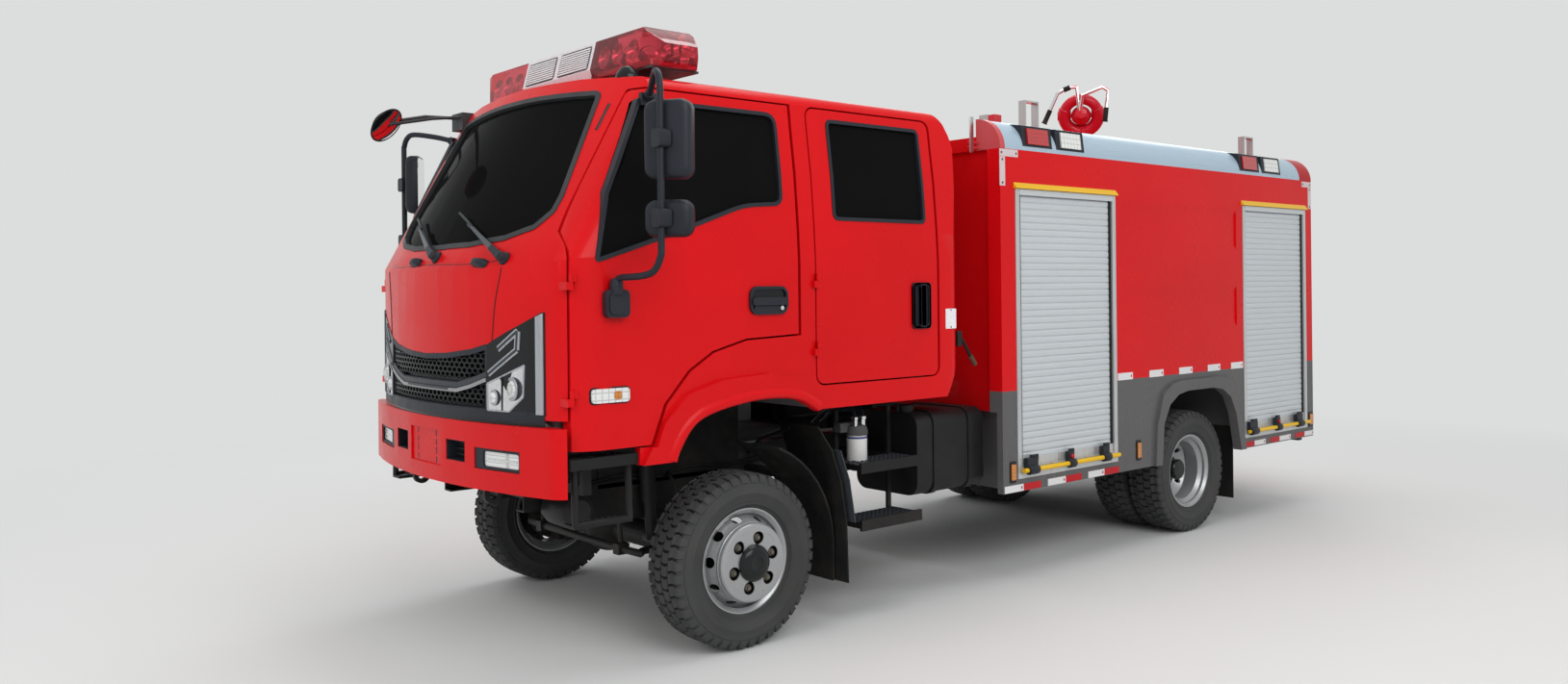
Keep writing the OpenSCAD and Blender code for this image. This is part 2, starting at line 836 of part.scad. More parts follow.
module cab_sides() {
  color(red) {
    difference() {
      union() {
        difference() {
          intersection() {
            cab_shell(0, cab_wall);
            along_y(-1100, 1100) polygon([[567, 888], [567, 1500], [495, 2000], [495, split_z],
              [-1500, split_z],
              [-1500, 1220], [-1410, 1220], [-1310, sill_z], [-300, sill_z], [-300, 888]]);
          }
          block([-1600, -rear_wall_y, 800], [rear_wall_x, rear_wall_y, split_z + 1]);
          block([-1300, -700, 800], [600, 700, split_z + 1]);
        }
        both() intersection() {
          along_y(cab_w - cab_wall, cab_w + 30) flare_out_2d();
          union() {
            block([-500, 0, sill_z], [567, 1200, 1300]);
            block([-300, 0, 888], [567, 1200, 1300]);
          }
        }
      }
      both() along_y(800, 1200) flare_in_2d();
      door_holes();
    }
    both() hinge_post(HINGES[1]);
  }
}

module cab_front() {
  color(red) both() hinge_post(HINGES[0]);
  color(red) difference() {
    intersection() {
      cab_shell(0, cab_wall);
      along_y(-1100, 1100) polygon([[header_x, 2700], [header_x, split_z], [495, split_z], [495, 2000],
        [700, 1090], [1400, 1090], [1400, 2700]]);
    }
    door_holes();
    screen_block() screen_2d();
    along_x(800, 1300) grille_2d();
    both() along_x(800, 1300) lamp_2d();
  }
}

module cab_glass() {
  color(glass_c) {
    intersection() {
      cab_shell(14, 20);
      screen_block() screen_2d();
    }
    intersection() {
      block([cab_rear + 14, -700, 1700], [cab_rear + 20, 700, 2300]);
      rear_pane(0);
    }
  }
}

module vee_bar_2d(z, t) {
  half = [[0, z], [290, z], [400, z + 24], [515, z + 56], [515, z + 46 + t], [400, z + 24 + t],
    [290, z + t], [0, z + t]];
  polygon(concat(half, flip_first(half)));
}

module grille() {
  color(black) {
    intersection() {
      cab_shell(24, cab_wall);
      along_x(800, 1300) grille_2d();
    }
    intersection() {
      cab_shell(2, 26);
      along_x(800, 1300) {
        intersection() {
          vee_bar_2d(1186, 42);
          grille_2d();
        }
        difference() {
          grille_2d();
          offset(delta = -16) grille_2d();
        }
      }
    }
  }
}

module headlamps() {
  color([0.75, 0.77, 0.80]) intersection() {
    cab_shell(-3, cab_wall);
    both() along_x(700, 1300) lamp_2d();
  }
}

// Light bar on the roof: section in X and Z
module bar_2d() {
  polygon([[95, 2605], [385, 2605], [400, 2650], [365, 2785],
    [300, 2812], [180, 2812], [115, 2785], [80, 2650]]);
}

bar_half = 335;

module light_bar() {
  color([0.80, 0.04, 0.05]) both() intersection() {
    along_y(bar_half, 1000) bar_2d();
    along_x(0, 500) polygon([[bar_half, 2605], [835, 2605], [868, 2650], [858, 2702], [740, 2788],
      [600, 2812],
      [bar_half, 2800]]);
    translate([0, 0, 2500]) linear_extrude(400)
      polygon([[70, bar_half], [410, bar_half], [410, 690], [320, 870], [160, 870], [70, 690]]);
  }
}

module light_bar_middle() {
  color(silver) {
    intersection() {
      along_y(-bar_half, bar_half) bar_2d();
      block([0, -1000, 2600], [500, 1000, 2796]);
    }
    difference() {
      both() block([140, 420, 2500], [340, 520, 2605]);
      cab_form(0);
    }
  }
}

// Wipers on the screen: foot and tip, across and along the glass
WIPERS = [[[52, 1052], [-500, 1300]], [[605, 1064], [85, 1275]]];
WIPER_FOOT = 0;
WIPER_TIP = 1;

function on_glass(p, out) = [glass_x - glass_r + sqrt(pow(glass_r + out, 2) - pow(p[0], 2)), p[0], p[1]];

module wiper(w) {
  screen_frame() {
    rod(on_glass(w[WIPER_FOOT], 26), on_glass(w[WIPER_TIP], 16), 6);
    translate(on_glass(w[WIPER_FOOT], fit_gap)) rotate([0, 90, asin(w[WIPER_FOOT][0] / glass_r)])
      cylinder(r = 20, h = 34);
  }
}

module cab_trim() {
  color(black) {
    for (w = WIPERS) wiper(w);
    // Screen surround
    intersection() {
      cab_shell(-5, 14);
      screen_block() difference() {
        screen_2d();
        offset(delta = -26) screen_2d();
      }
    }
    // Round mirror on two rods ahead of the right roof corner
    difference() {
      block([470, -830, 2470], [560, -700, 2560]);
      cab_form(0);
    }
    pipe([[540, -800, 2540], [700, -840, 2540], [930, -790, 2485]], 9);
    pipe([[540, -730, 2540], [700, -760, 2520], [930, -770, 2470]], 8);
    translate([935, -775, 2470]) rotate([0, 125, 120]) translate([0, 0, -30])
      cylinder(r1 = 60, r2 = 98, h = 34);
  }
}

// Front seats, and a bench behind them
module seats() {
  union() {
    both() {
      block([-250, 300, 1170], [210, 760, 1420]);
      along_y(300, 760) polygon([[-250, 1415], [-120, 1415], [-190, 1960], [-300, 1960]]);
    }
    block([-1350, -840, 1095], [-880, 840, 1450]);
    along_y(-840, 840) polygon([[-1350, 1445], [-1230, 1445], [-1290, 1990], [-1370, 1990]]);
  }
}

module dashboard() {
  difference() {
    translate(wheel_at) rotate([0, wheel_tilt, 0]) translate([0, 0, -430]) cylinder(r = 34, h = 215);
    translate(wheel_at) rotate([0, wheel_tilt, 0]) translate([0, 0, -300])
      cylinder(r = 24 + fit_gap, h = 100);
  }
  intersection() {
    along_y(-830, 830) polygon([[640, 1460], [590, 1590], [650, 1700], [800, 1745],
      [1200, 1745], [1200, 1460]]);
    cab_form(cab_wall);
  }
}

module cab_interior() {
  color([0.14, 0.14, 0.16]) {
    seats();
    dashboard();
  }
}

wheel_at = [400, 480, 1740];
wheel_tilt = -40;

module steering_wheel() {
  color(black) translate(wheel_at) rotate([0, wheel_tilt, 0]) {
    rotate_extrude() translate([205, 0]) circle(r = 15);
    cylinder(r = 55, h = 40, center = true);
    for (a = [0, 120, 240]) rotate([0, 0, a + 60]) block([40, -16, -10], [200, 16, 10]);
    translate([0, 0, -290]) cylinder(r = 24, h = 285);
  }
}

// Doors, drawn on the left side

module door(front) {
  color(red) hinge_leaf(HINGES[front ? 0 : 1]);
  color(red) difference() {
    intersection() {
      cab_shell(0, cab_wall);
      along_y(front ? pillar_y : 560, 1200) if (front) front_door_2d();
        else rear_door_2d();
    }
    along_y(500, 1300) if (front) front_window_2d();
      else rear_window_2d();
  }
}

module door_glass(front) {
  color(glass_c) intersection() {
    cab_shell(14, 20);
    along_y(front ? pillar_y + 10 : 560, 1200) if (front) front_window_2d();
      else rear_window_2d();
  }
}

module window_rim(front) {
  intersection() {
    cab_shell(-4, 14);
    along_y(front ? pillar_y + 10 : 560, 1200) difference() {
      offset(delta = -fit_gap) if (front) front_window_2d();
      else rear_window_2d();
      offset(delta = -18) if (front) front_window_2d();
      else rear_window_2d();
    }
  }
}

// A handle: a rim round a hollow with a grip across it
module handle(x0, x1, z0, z1, upright) {
  y = cab_w;
  difference() {
    along_y(y, y + 14) rounded(20) polygon([[x0, z0], [x1, z0], [x1, z1], [x0, z1]]);
    along_y(y + 5, y + 20) rounded(12) polygon([[x0 + 14, z0 + 14], [x1 - 14, z0 + 14], [x1 - 14, z1 - 14],
      [x0 + 14, z1 - 14]]);
  }
  xm = (x0 + x1) / 2;
  zm = (z0 + z1) / 2;
  if (upright) block([xm - 18, y + 4, z0 + 8], [xm + 18, y + 26, z1 - 8]);
  else block([x0 + 8, y + 4, zm - 16], [x1 - 8, y + 26, zm + 20]);
}

// Mirror heads: middle height, height, depth
HEADS = [[2215, 320, 70], [1900, 150, 66]];
HEAD_Z = 0;
HEAD_H = 1;
HEAD_D = 2;
mirror_y = 1285;
mirror_x = 640;

module mirror_arm() {
  difference() {
    block([440, 890, 2398], [515, 960, 2452]);
    cab_form(-fit_gap);
  }
  block([630, cab_w, 1505], [740, cab_w + 42, 1620]);
  pipe([[690, cab_w + 25, 1600], [690, cab_w + 60, 1650], [670, mirror_y - 40, 1670],
    [mirror_x, mirror_y, 1760],
    [mirror_x, mirror_y, 2440], [mirror_x - 20, mirror_y - 60, 2492], [478, 953, 2433]], 14);
  for (h = HEADS) {
    z0 = h[HEAD_Z] - h[HEAD_H] / 2;
    translate([mirror_x - 16 - h[HEAD_D], 0, 0]) along_x(0, h[HEAD_D]) rounded(28)
      polygon([[mirror_y - 88, z0], [mirror_y + 92, z0], [mirror_y + 92, z0 + h[HEAD_H]],
        [mirror_y - 88, z0 + h[HEAD_H]]]);
    block([mirror_x - 30, mirror_y - 26, h[HEAD_Z] - 32], [mirror_x + 22, mirror_y + 26, h[HEAD_Z] + 32]);
  }
}

// What is fixed to a door: the window rim, the handle and, in front, the mirror
module fittings(front) {
  color(black) {
    window_rim(front);
    if (front) {
      handle(-230, -10, 1500, 1628, false);
      mirror_arm();
    } else handle(-1180, -1050, 1405, 1640, true);
  }
}

// Wheels, drawn on the left side

module on_axle(x, y) {
  translate([x, y, axle_z]) rotate([-90, 0, 0]) children();
}

module tyre() {
  h = tyre_w / 2;
  rotate_extrude() polygon([[bead_r + fit_gap, -86], [236, -87.5], [300, -h], [345, -h + 4],
    [tyre_r - 10, -h + 18],
    [tyre_r - 2, -h + 34], [tyre_r, 0], [tyre_r - 2, h - 34], [tyre_r - 10, h - 18], [345, h - 4], [300, h],
    [236, 87.5], [bead_r + fit_gap, 86]]);
}

// Rim with its dished disc towards +Z
module rim() {
  rotate_extrude() polygon([[flange_r, 95], [flange_r, 88], [bead_r, 86.2], [bead_r, 62], [200, 40],
    [200, -40],
    [bead_r, -62], [bead_r, -86.2], [flange_r, -88], [flange_r, -95], [226, -95], [211, -80], [211, -62],
    [189, -42], [189, 40], [205, 62], [211, 80], [226, 95]]);
  difference() {
    rotate_extrude() polygon([[60, 126], [134, 126], [152, 118], [178, 92], [204, 66], [204, 52], [172, 80],
      [146, 104], [128, 112], [60, 112]]);
    for (i = [0 : 9]) rotate([0, 0, 36 * i]) translate([172, 0, 40]) cylinder(r = 16, h = 100);
  }
  for (i = [0 : 5]) rotate([0, 0, 60 * i]) translate([pcd_r, 0, 120]) cylinder(r = 15, h = 28);
}

module rim_front() {
  color(steel) on_axle(0, front_wheel_y) {
    rim();
    difference() {
      union() {
        translate([0, 0, -30]) cylinder(r = 72, h = 150);
        cylinder(r = 56, h = 166);
      }
      translate([0, 0, -31]) cylinder(r = spindle_r + fit_gap, h = 31 + 97);
    }
  }
}

module tyre_front() {
  color(rubber) on_axle(0, front_wheel_y) tyre();
}

module rims_rear() {
  color(steel) on_axle(rear_x, rear_wheel_y) {
    translate([0, 0, twin_step / 2]) mirror([0, 0, 1]) rim();
    translate([0, 0, -twin_step / 2]) rim();
    difference() {
      union() {
        translate([0, 0, 112 - twin_step / 2]) cylinder(r = 130, h = twin_step - 224);
        translate([0, 0, -100]) cylinder(r = 86, h = 170);
        translate([0, 0, 60]) cylinder(r = 62, h = 90);
      }
      translate([0, 0, -101]) cylinder(r = 40 + fit_gap, h = 214);
    }
  }
}

module tyres_rear() {
  color(rubber) on_axle(rear_x, rear_wheel_y) for (s = [-1, 1]) translate([0, 0, s * twin_step / 2]) tyre();
}

module knuckle() {
  color(black) difference() {
    union() {
      translate([0, king_y, axle_z - 105]) cylinder(r = 47, h = 210);
      bar_y(0, axle_z, king_y, front_wheel_y + 95, spindle_r);
      bar_y(0, axle_z, 765, 800, 160);
      bar_y(0, axle_z, king_y, 770, 60);
      block([arm_x - 24, king_y - 22, axle_z - 95], [0, king_y + 22, axle_z - 65]);
      translate([arm_x, king_y, axle_z - 140]) cylinder(r = 10, h = 60);
    }
    translate([0, king_y, axle_z - 200]) cylinder(r = 20 + fit_gap, h = 400);
  }
}

module tie_rod() {
  color(black) difference() {
    union() {
      both() translate([arm_x, king_y, axle_z - 138]) cylinder(r = 24, h = 38);
      bar_y(arm_x, axle_z - 119, -king_y, king_y, 14);
    }
    both() translate([arm_x, king_y, axle_z - 200]) cylinder(r = 10 + fit_gap, h = 200);
  }
}

// Water cannon on the roof

cannon_z = roof_z1 + 415;
cannon_turn = 36;
ring_tilt = 25;
ring_r = 38;
barrel_r = 40;
trunnion_r = 17;

module cannon_frame() {
  translate([-cannon_back, 0, cannon_z]) rotate([0, 0, cannon_turn]) children();
}

module cannon_body() {
  low = roof_z1 + 110 - cannon_z;
  foot = [-cannon_ring * sin(ring_tilt), 0, -cannon_ring * cos(ring_tilt)];
  color([0.80, 0.05, 0.07]) cannon_frame() difference() {
    union() {
      rotate([0, ring_tilt, 0]) rotate([0, 90, 0]) rotate_extrude()
        translate([cannon_ring, 0]) circle(r = ring_r);
      rod([0, 0, low + 36], foot, 46);
      translate([0, 0, low]) cylinder(r = 78, h = 34);
      translate([0, 0, low - 55]) cylinder(r = 40, h = 60);
      for (s = [-1, 1]) bar_y(0, 0, min(s * 92, s * 168), max(s * 92, s * 168), 32);
    }
    bar_y(0, 0, -150, 150, trunnion_r + fit_gap);
  }
}

module cannon_barrel() {
  color([0.80, 0.05, 0.07]) cannon_frame() {
    bar_y(0, 0, -145, 145, trunnion_r);
    bar_x(0, 0, -170, 120, barrel_r);
    translate([-165, 0, 0]) rotate([0, -90, 0]) cylinder(r1 = barrel_r - 2, r2 = 26, h = 160);
    translate([-320, 0, 0]) rotate([0, -90, 0]) cylinder(r = 36, h = 45);
    pipe([[112, 0, 20], [150, 10, 120], [155, 150, 175], [152, 190, 150], [140, 168, -60]], 11);
    pipe([[112, -12, 20], [150, -30, 185], [150, -95, 180], [150, -165, 140], [150, -255, -60]], 11);
  }
}

place() frame_rails();
place() front_axle();
place() rear_axle();
place() leaf_springs();
place() powertrain();
place() side_boxes();
place() bumper();
place() cab_steps();
place() mudguards();
place() body_floor();
place() body_sides();
place() body_end_walls();
place() body_roof();
place() roof_coves();
place() shutters();
place() shutter_frames();
place() yellow_bars();
place() lamp_bezels();
place() white_lamps();
place() red_lamps();
place() roof_rails();
place() water_tank();
place() cab_floor();
place() cab_roof();
place() cab_sides();
place() cab_rear_wall();
place() cab_front();
place() cab_glass();
place() grille();
place() headlamps();
place() light_bar();
place() light_bar_middle();
place() cab_trim();
place() cab_interior();
place() steering_wheel();
place() door(true);  // door_front_left
place() right() door(true);  // door_front_right
place() door(false);  // door_rear_left
place() right() door(false);  // door_rear_right
place() door_glass(true);  // glass_front_left
place() right() door_glass(true);  // glass_front_right
place() door_glass(false);  // glass_rear_left
place() right() door_glass(false);  // glass_rear_right
place() fittings(true);  // mirror_left
place() right() fittings(true);  // mirror_right
place() fittings(false);  // trim_rear_left
place() right() fittings(false);  // trim_rear_right
place() knuckle();  // knuckle_left
place() right() knuckle();  // knuckle_right
place() tie_rod();
place() tyre_front();  // tyre_front_left
place() right() tyre_front();  // tyre_front_right
place() tyres_rear();  // tyres_rear_left
place() right() tyres_rear();  // tyres_rear_right
place() rim_front();  // rim_front_left
place() right() rim_front();  // rim_front_right
place() rims_rear();  // rims_rear_left
place() right() rims_rear();  // rims_rear_right
place() cannon_body();
place() cannon_barrel();
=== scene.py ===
"""Looks of the crew cab fire truck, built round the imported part.

Metres, in the part's own frame: X forwards, Y to the truck's left, Z up.
Along X, places are counted from the front axle, as in the part's source.
"""

import json
import math

import bmesh
import bpy
from mathutils import Matrix, Vector


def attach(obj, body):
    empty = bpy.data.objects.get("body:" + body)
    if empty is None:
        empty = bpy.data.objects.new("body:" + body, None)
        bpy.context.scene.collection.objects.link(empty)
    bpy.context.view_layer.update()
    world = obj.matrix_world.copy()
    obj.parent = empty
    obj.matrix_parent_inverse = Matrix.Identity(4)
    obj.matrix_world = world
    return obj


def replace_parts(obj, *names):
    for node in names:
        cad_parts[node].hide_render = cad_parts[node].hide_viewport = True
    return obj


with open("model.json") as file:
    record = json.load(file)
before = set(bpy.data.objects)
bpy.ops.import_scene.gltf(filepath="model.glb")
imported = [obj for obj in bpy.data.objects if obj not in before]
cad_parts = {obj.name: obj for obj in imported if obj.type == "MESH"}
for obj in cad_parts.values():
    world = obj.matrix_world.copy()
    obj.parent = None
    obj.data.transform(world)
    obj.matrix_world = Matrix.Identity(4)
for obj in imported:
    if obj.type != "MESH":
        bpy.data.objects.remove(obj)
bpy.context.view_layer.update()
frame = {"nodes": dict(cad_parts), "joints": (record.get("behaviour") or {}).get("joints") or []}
nodes = frame["nodes"]
JOINT = {j["name"]: Vector(j["pos_m"]) for j in frame["joints"]}

FRONT_X = JOINT["steer_left"].x
LEFT, RIGHT = 1, -1
SIDE_NAME = {LEFT: "left", RIGHT: "right"}

# Cab outline, as in the part's source
NOSE_X, BOW_R, CORNER_R, CAB_W = 1.06, 2.6, 0.18, 1.0
CORNER_X = NOSE_X - BOW_R + math.sqrt((BOW_R - CORNER_R) ** 2 - (CAB_W - CORNER_R) ** 2)
CORNER_A = math.asin((CAB_W - CORNER_R) / (BOW_R - CORNER_R))
SCREEN_TILT = math.radians(29)
GLASS_X, GLASS_R = 1.01 * math.cos(SCREEN_TILT) + 1.8 * math.sin(SCREEN_TILT), 3.2

# Locker body
BOX_W, BOX_FRONT, BOX_REAR = 1.05, -1.69, -5.21
GREY_TOP = 1.045
# Corner caps of the roof: inner edge, length at the front and the rear
CAP_Y, CAP_L = 0.882, (0.041, 0.3)


def at(x, y, z):
    """A point counted along X from the front axle."""
    return Vector((FRONT_X + x, y, z))


def cab_x(y, inset=0.0):
    """X of the cab's nose at a distance from the middle."""
    a = abs(y)
    if a <= (BOW_R - inset) * math.sin(CORNER_A):
        return NOSE_X - BOW_R + math.sqrt((BOW_R - inset) ** 2 - a * a)
    across = min((a - (CAB_W - CORNER_R)) / (CORNER_R - inset), 1.0)
    return CORNER_X + (CORNER_R - inset) * math.sqrt(1 - across * across)


def on_nose(y, z, out=0.0):
    return at(cab_x(y, -out), y, z)


def on_screen(y, up, out=0.0):
    """A point on the windscreen: across, along the glass, and out of it."""
    deep = GLASS_X - GLASS_R + math.sqrt((GLASS_R + out) ** 2 - y * y)
    c, s = math.cos(SCREEN_TILT), math.sin(SCREEN_TILT)
    return at(deep * c - up * s, y, deep * s + up * c)


# Materials

RED = (0.66, 0.004, 0.007)
GREY = (0.115, 0.112, 0.114)
# A paler red for the roof's front corner caps, and painted shade as a darker red for the rear ones
PALE_RED, SHADED_RED = (0.55, 0.085, 0.095), (0.42, 0.006, 0.01)
ROAD_DUST, FINE_DUST = (0.13, 0.105, 0.08), (0.12, 0.10, 0.08)
PAINT_SHINE, PLASTIC_SHINE = 0.12, 0.25
# Painted shade along the edges of a lens's optics, as a share of its colour
LENS_EDGE_SHADE = 0.55
# Orange peel of the paint: scale, depth
PEEL_SCALE, PEEL_DEPTH = 190.0, 0.00012
# Edges sharper than this stay sharp on the part's own pieces
SHARP_DEGREES = 32


class Look:
    """One procedural material. Detail is measured in the object's own metres."""

    def __init__(self, name, slot, rough, metallic=0.0, coat=0.0, **sockets):
        self.mat = bpy.data.materials.new(name)
        self.mat.use_nodes = True
        self.slot = slot
        self.tree = self.mat.node_tree
        self.shader = self.tree.nodes["Principled BSDF"]
        self.coords = self.node("ShaderNodeTexCoord").outputs["Object"]
        self.set(Roughness=rough, Metallic=metallic)
        if coat:
            self.set(**{"Coat Weight": coat, "Coat Roughness": 0.06})
        self.set(**sockets)

    def set(self, **sockets):
        for key, value in sockets.items():
            self.shader.inputs[key.replace("_", " ")].default_value = value

    def node(self, kind, **settings):
        made = self.tree.nodes.new(kind)
        for key, value in settings.items():
            setattr(made, key, value)
        return made

    def link(self, a, b):
        self.tree.links.new(a, b)

    def noise(self, scale, detail=4.0, stretch=(1, 1, 1)):
        place = self.node("ShaderNodeMapping")
        place.inputs["Scale"].default_value = stretch
        self.link(self.coords, place.inputs["Vector"])
        tex = self.node("ShaderNodeTexNoise")
        tex.inputs["Scale"].default_value = scale
        tex.inputs["Detail"].default_value = detail
        self.link(place.outputs["Vector"], tex.inputs["Vector"])
        return tex.outputs["Fac"]

    def blend(self, share, low, high, start=0.3, end=0.7):
        """Two colours, by a share."""
        ramp = self.node("ShaderNodeValToRGB")
        ends = ramp.color_ramp.elements
        ends[0].position, ends[1].position = start, end
        ends[0].color, ends[1].color = (*low, 1), (*high, 1)
        self.link(share, ramp.inputs["Fac"])
        return ramp.outputs["Color"]

    def mix(self, share, a, b):
        made = self.node("ShaderNodeMix", data_type="RGBA")
        # A mix node lists its sockets by kind, and the colours come last
        colours = [s for s in made.inputs if s.type == "RGBA"]
        for socket, value in zip(colours, (a, b)):
            if isinstance(value, bpy.types.NodeSocket):
                self.link(value, socket)
            else:
                socket.default_value = (*value, 1)
        self.link(share, made.inputs[0])
        return [s for s in made.outputs if s.type == "RGBA"][0]

    def axis(self, name):
        parts = self.node("ShaderNodeSeparateXYZ")
        self.link(self.coords, parts.inputs["Vector"])
        return parts.outputs[name]

    def math(self, operation, *values):
        made = self.node("ShaderNodeMath", operation=operation)
        for socket, value in zip(made.inputs, values):
            if isinstance(value, bpy.types.NodeSocket):
                self.link(value, socket)
            else:
                socket.default_value = value
        return made.outputs["Value"]

    def ramp(self, value, low, high, out_low=0.0, out_high=1.0):
        made = self.node("ShaderNodeMapRange")
        self.link(value, made.inputs["Value"])
        for key, number in (("From Min", low), ("From Max", high), ("To Min", out_low),
                            ("To Max", out_high)):
            made.inputs[key].default_value = number
        return made.outputs["Result"]

    def colour(self, socket):
        self.link(socket, self.shader.inputs["Base Color"])

    def rough(self, socket, low, high):
        self.link(self.ramp(socket, 0.3, 0.7, low, high), self.shader.inputs["Roughness"])

    def bump(self, socket, depth):
        made = self.node("ShaderNodeBump")
        made.inputs["Distance"].default_value = depth
        made.inputs["Strength"].default_value = 1.0
        self.link(socket, made.inputs["Height"])
        self.link(made.outputs["Normal"], self.shader.inputs["Normal"])


def tones(colour, spread):
    return [tuple(c * (1 - spread) for c in colour), tuple(min(1, c * (1 + spread)) for c in colour)]


def painted(name, slot, colour, rough=0.3, coat=0.1, spread=0.05, peel=PEEL_DEPTH, dust=0.0):
    """Enamel: soft change of tone, orange peel, and road dust near the ground."""
    look = Look(name, slot, rough, coat=coat)
    look.set(**{"Specular IOR Level": PAINT_SHINE})
    tone = look.blend(look.noise(1.3), *tones(colour, spread))
    if dust:
        low = look.ramp(look.axis("Z"), 0.1, 0.95, dust, 0.0)
        share = look.math("MULTIPLY", low, look.noise(9.0, 8.0))
        tone = look.mix(share, tone, ROAD_DUST)
    look.colour(tone)
    look.rough(look.noise(5.0), rough * 0.85, rough * 1.2)
    look.bump(look.noise(PEEL_SCALE, 2.0), peel)
    return look


def grained(name, slot, colour, rough=0.5, grain=420.0, depth=0.0004, dust=0.0, **sockets):
    """Moulded plastic or rubber with a fine grain."""
    look = Look(name, slot, rough, **sockets)
    look.set(**{"Specular IOR Level": PLASTIC_SHINE})
    tone = look.blend(look.noise(3.0), *tones(colour, 0.18))
    if dust:
        share = look.ramp(look.noise(7.0, 8.0), 0.45, 0.75, 0.0, dust)
        tone = look.mix(share, tone, FINE_DUST)
    look.colour(tone)
    look.rough(look.noise(12.0), rough * 0.85, min(1.0, rough * 1.2))
    look.bump(look.noise(grain, 2.0), depth)
    return look


def brushed(name, slot, colour, rough, stretch, metallic=1.0, depth=0.0001, spread=0.08):
    """Metal with fine lines along one direction."""
    look = Look(name, slot, rough, metallic=metallic)
    lines = look.noise(60.0, 6.0, stretch)
    look.colour(look.blend(lines, *tones(colour, spread)))
    look.rough(lines, rough * 0.75, rough * 1.25)
    look.bump(lines, depth)
    return look


def lens(name, slot, colour, cell):
    """A lamp lens with a grid of small optics pressed into it, with painted shade along their edges."""
    look = Look(name, slot, 0.12, coat=0.8)
    waves = []
    for axis in "XZ":
        turn = look.math("FRACT", look.math("DIVIDE", look.axis(axis), cell))
        waves.append(look.math("ABSOLUTE", look.math("SUBTRACT", turn, 0.5)))
    edge = look.math("MAXIMUM", *waves)
    look.colour(look.blend(edge, colour, tuple(c * LENS_EDGE_SHADE for c in colour), 0.38, 0.5))
    look.bump(edge, -0.002)
    return look


red_paint = painted("red_paint", "paint_red", RED)
cap_red = painted("cap_red", "paint_red", (0.58, 0.035, 0.045), rough=0.4, coat=0.3)
grey_paint = painted("grey_paint", "paint_grey", GREY, rough=0.36, coat=0.3)
chassis_paint = painted("chassis_paint", "chassis_black", (0.014, 0.014, 0.015), rough=0.45, coat=0.1,
                        spread=0.25, dust=0.22)
casting = painted("casting", "casting", (0.09, 0.09, 0.095), rough=0.6, coat=0.0, spread=0.3, peel=0.0006,
                  dust=0.6)
cannon_paint = painted("cannon_paint", "cannon_red", (0.55, 0.012, 0.03), rough=0.35, coat=0.4)
yellow_paint = painted("yellow_paint", "yellow", (0.78, 0.47, 0.01), rough=0.35, coat=0.3)
white_paint = painted("white_paint", "lens_clear", (0.78, 0.78, 0.77), rough=0.35, coat=0.3)
black_plastic = grained("black_plastic", "plastic_black", (0.016, 0.019, 0.026), 0.42)
gloss_black = grained("gloss_black", "plastic_black", (0.010, 0.011, 0.012), 0.16, depth=0.0001)
screen_rubber = grained("screen_rubber", "plastic_black", (0.035, 0.037, 0.04), 0.48)
tank_plastic = grained("tank_plastic", "tank_black", (0.009, 0.0093, 0.0105), 0.42, dust=0.04)
flap_rubber = grained("flap_rubber", "rubber_black", (0.009, 0.0095, 0.0095), 0.7, grain=140.0,
                      depth=0.0012, dust=0.14)
tyre_rubber = grained("tyre_rubber", "tyre", (0.052, 0.053, 0.054), 0.78, grain=260.0, depth=0.0006,
                      dust=0.14)
seat_cloth = grained("seat_cloth", "trim", (0.05, 0.05, 0.056), 0.9, grain=900.0, depth=0.0012,
                     **{"Sheen Weight": 0.3})
dash_plastic = grained("dash_plastic", "trim", (0.04, 0.04, 0.043), 0.6, grain=300.0, depth=0.0006)
rim_lacquer = painted("rim_lacquer", "rim_silver", (0.40, 0.41, 0.42), rough=0.32, coat=0.2, spread=0.06,
                      dust=0.12)
rim_lacquer.set(Metallic=0.55)
nut_steel = painted("nut_steel", "casting", (0.16, 0.145, 0.12), rough=0.4, spread=0.3)
steel = brushed("steel", "stainless", (0.56, 0.56, 0.56), 0.3, (1, 1, 0.05))
chrome = brushed("chrome", "stainless", (0.75, 0.75, 0.76), 0.12, (1, 1, 1), depth=0.00002)
alu = brushed("alu", "shutter_alu", (0.60, 0.635, 0.665), 0.45, (0.03, 0.03, 4.0), metallic=0.4,
              depth=0.00005, spread=0.04)
frame_alu = brushed("frame_alu", "shutter_alu", (0.56, 0.57, 0.58), 0.36, (1, 1, 0.04), metallic=0.6)
# The moulding's silver carries a painted light-blue sheen in its colour
moulding = brushed("moulding", "moulding", (0.40, 0.52, 0.62), 0.34, (0.05, 4, 4), metallic=0.2,
                   depth=0.00003, spread=0.03)
grille_silver = brushed("grille_silver", "bar_silver", (0.34, 0.34, 0.35), 0.34, (1, 0.05, 1), metallic=0.6)
lamp_silver = brushed("lamp_silver", "bar_silver", (0.42, 0.44, 0.47), 0.3, (1, 1, 0.05), metallic=0.6)
bar_silver = brushed("bar_silver", "bar_silver", (0.78, 0.75, 0.79), 0.4, (1, 1, 0.05), metallic=0.1,
                     depth=0.00003)
louvre_white = brushed("louvre_white", "bar_silver", (0.86, 0.85, 0.87), 0.4, (1, 0.05, 1), metallic=0.1,
                       depth=0.00003)
white_lens = lens("white_lens", "lens_clear", (0.78, 0.79, 0.78), 0.03)
red_lens = lens("red_lens", "lens_red", (0.50, 0.008, 0.012), 0.022)
amber_lens = lens("amber_lens", "lens_red", (0.62, 0.20, 0.01), 0.02)
tape_white = painted("tape_white", "lens_clear", (0.74, 0.74, 0.75), rough=0.4, coat=0.2, peel=0.0003)
tape_red = painted("tape_red", "lens_red", (0.50, 0.008, 0.014), rough=0.4, coat=0.2, peel=0.0003)
corner_tape = painted("corner_tape", "lens_clear", (0.66, 0.56, 0.57), rough=0.4, coat=0.2)
trim_blue = painted("trim_blue", "paint_grey", (0.05, 0.07, 0.22), rough=0.4, coat=0.2)
grip_brown = grained("grip_brown", "plastic_black", (0.10, 0.055, 0.03), 0.6)
bar_grey = grained("bar_grey", "plastic_black", (0.045, 0.05, 0.058), 0.4)
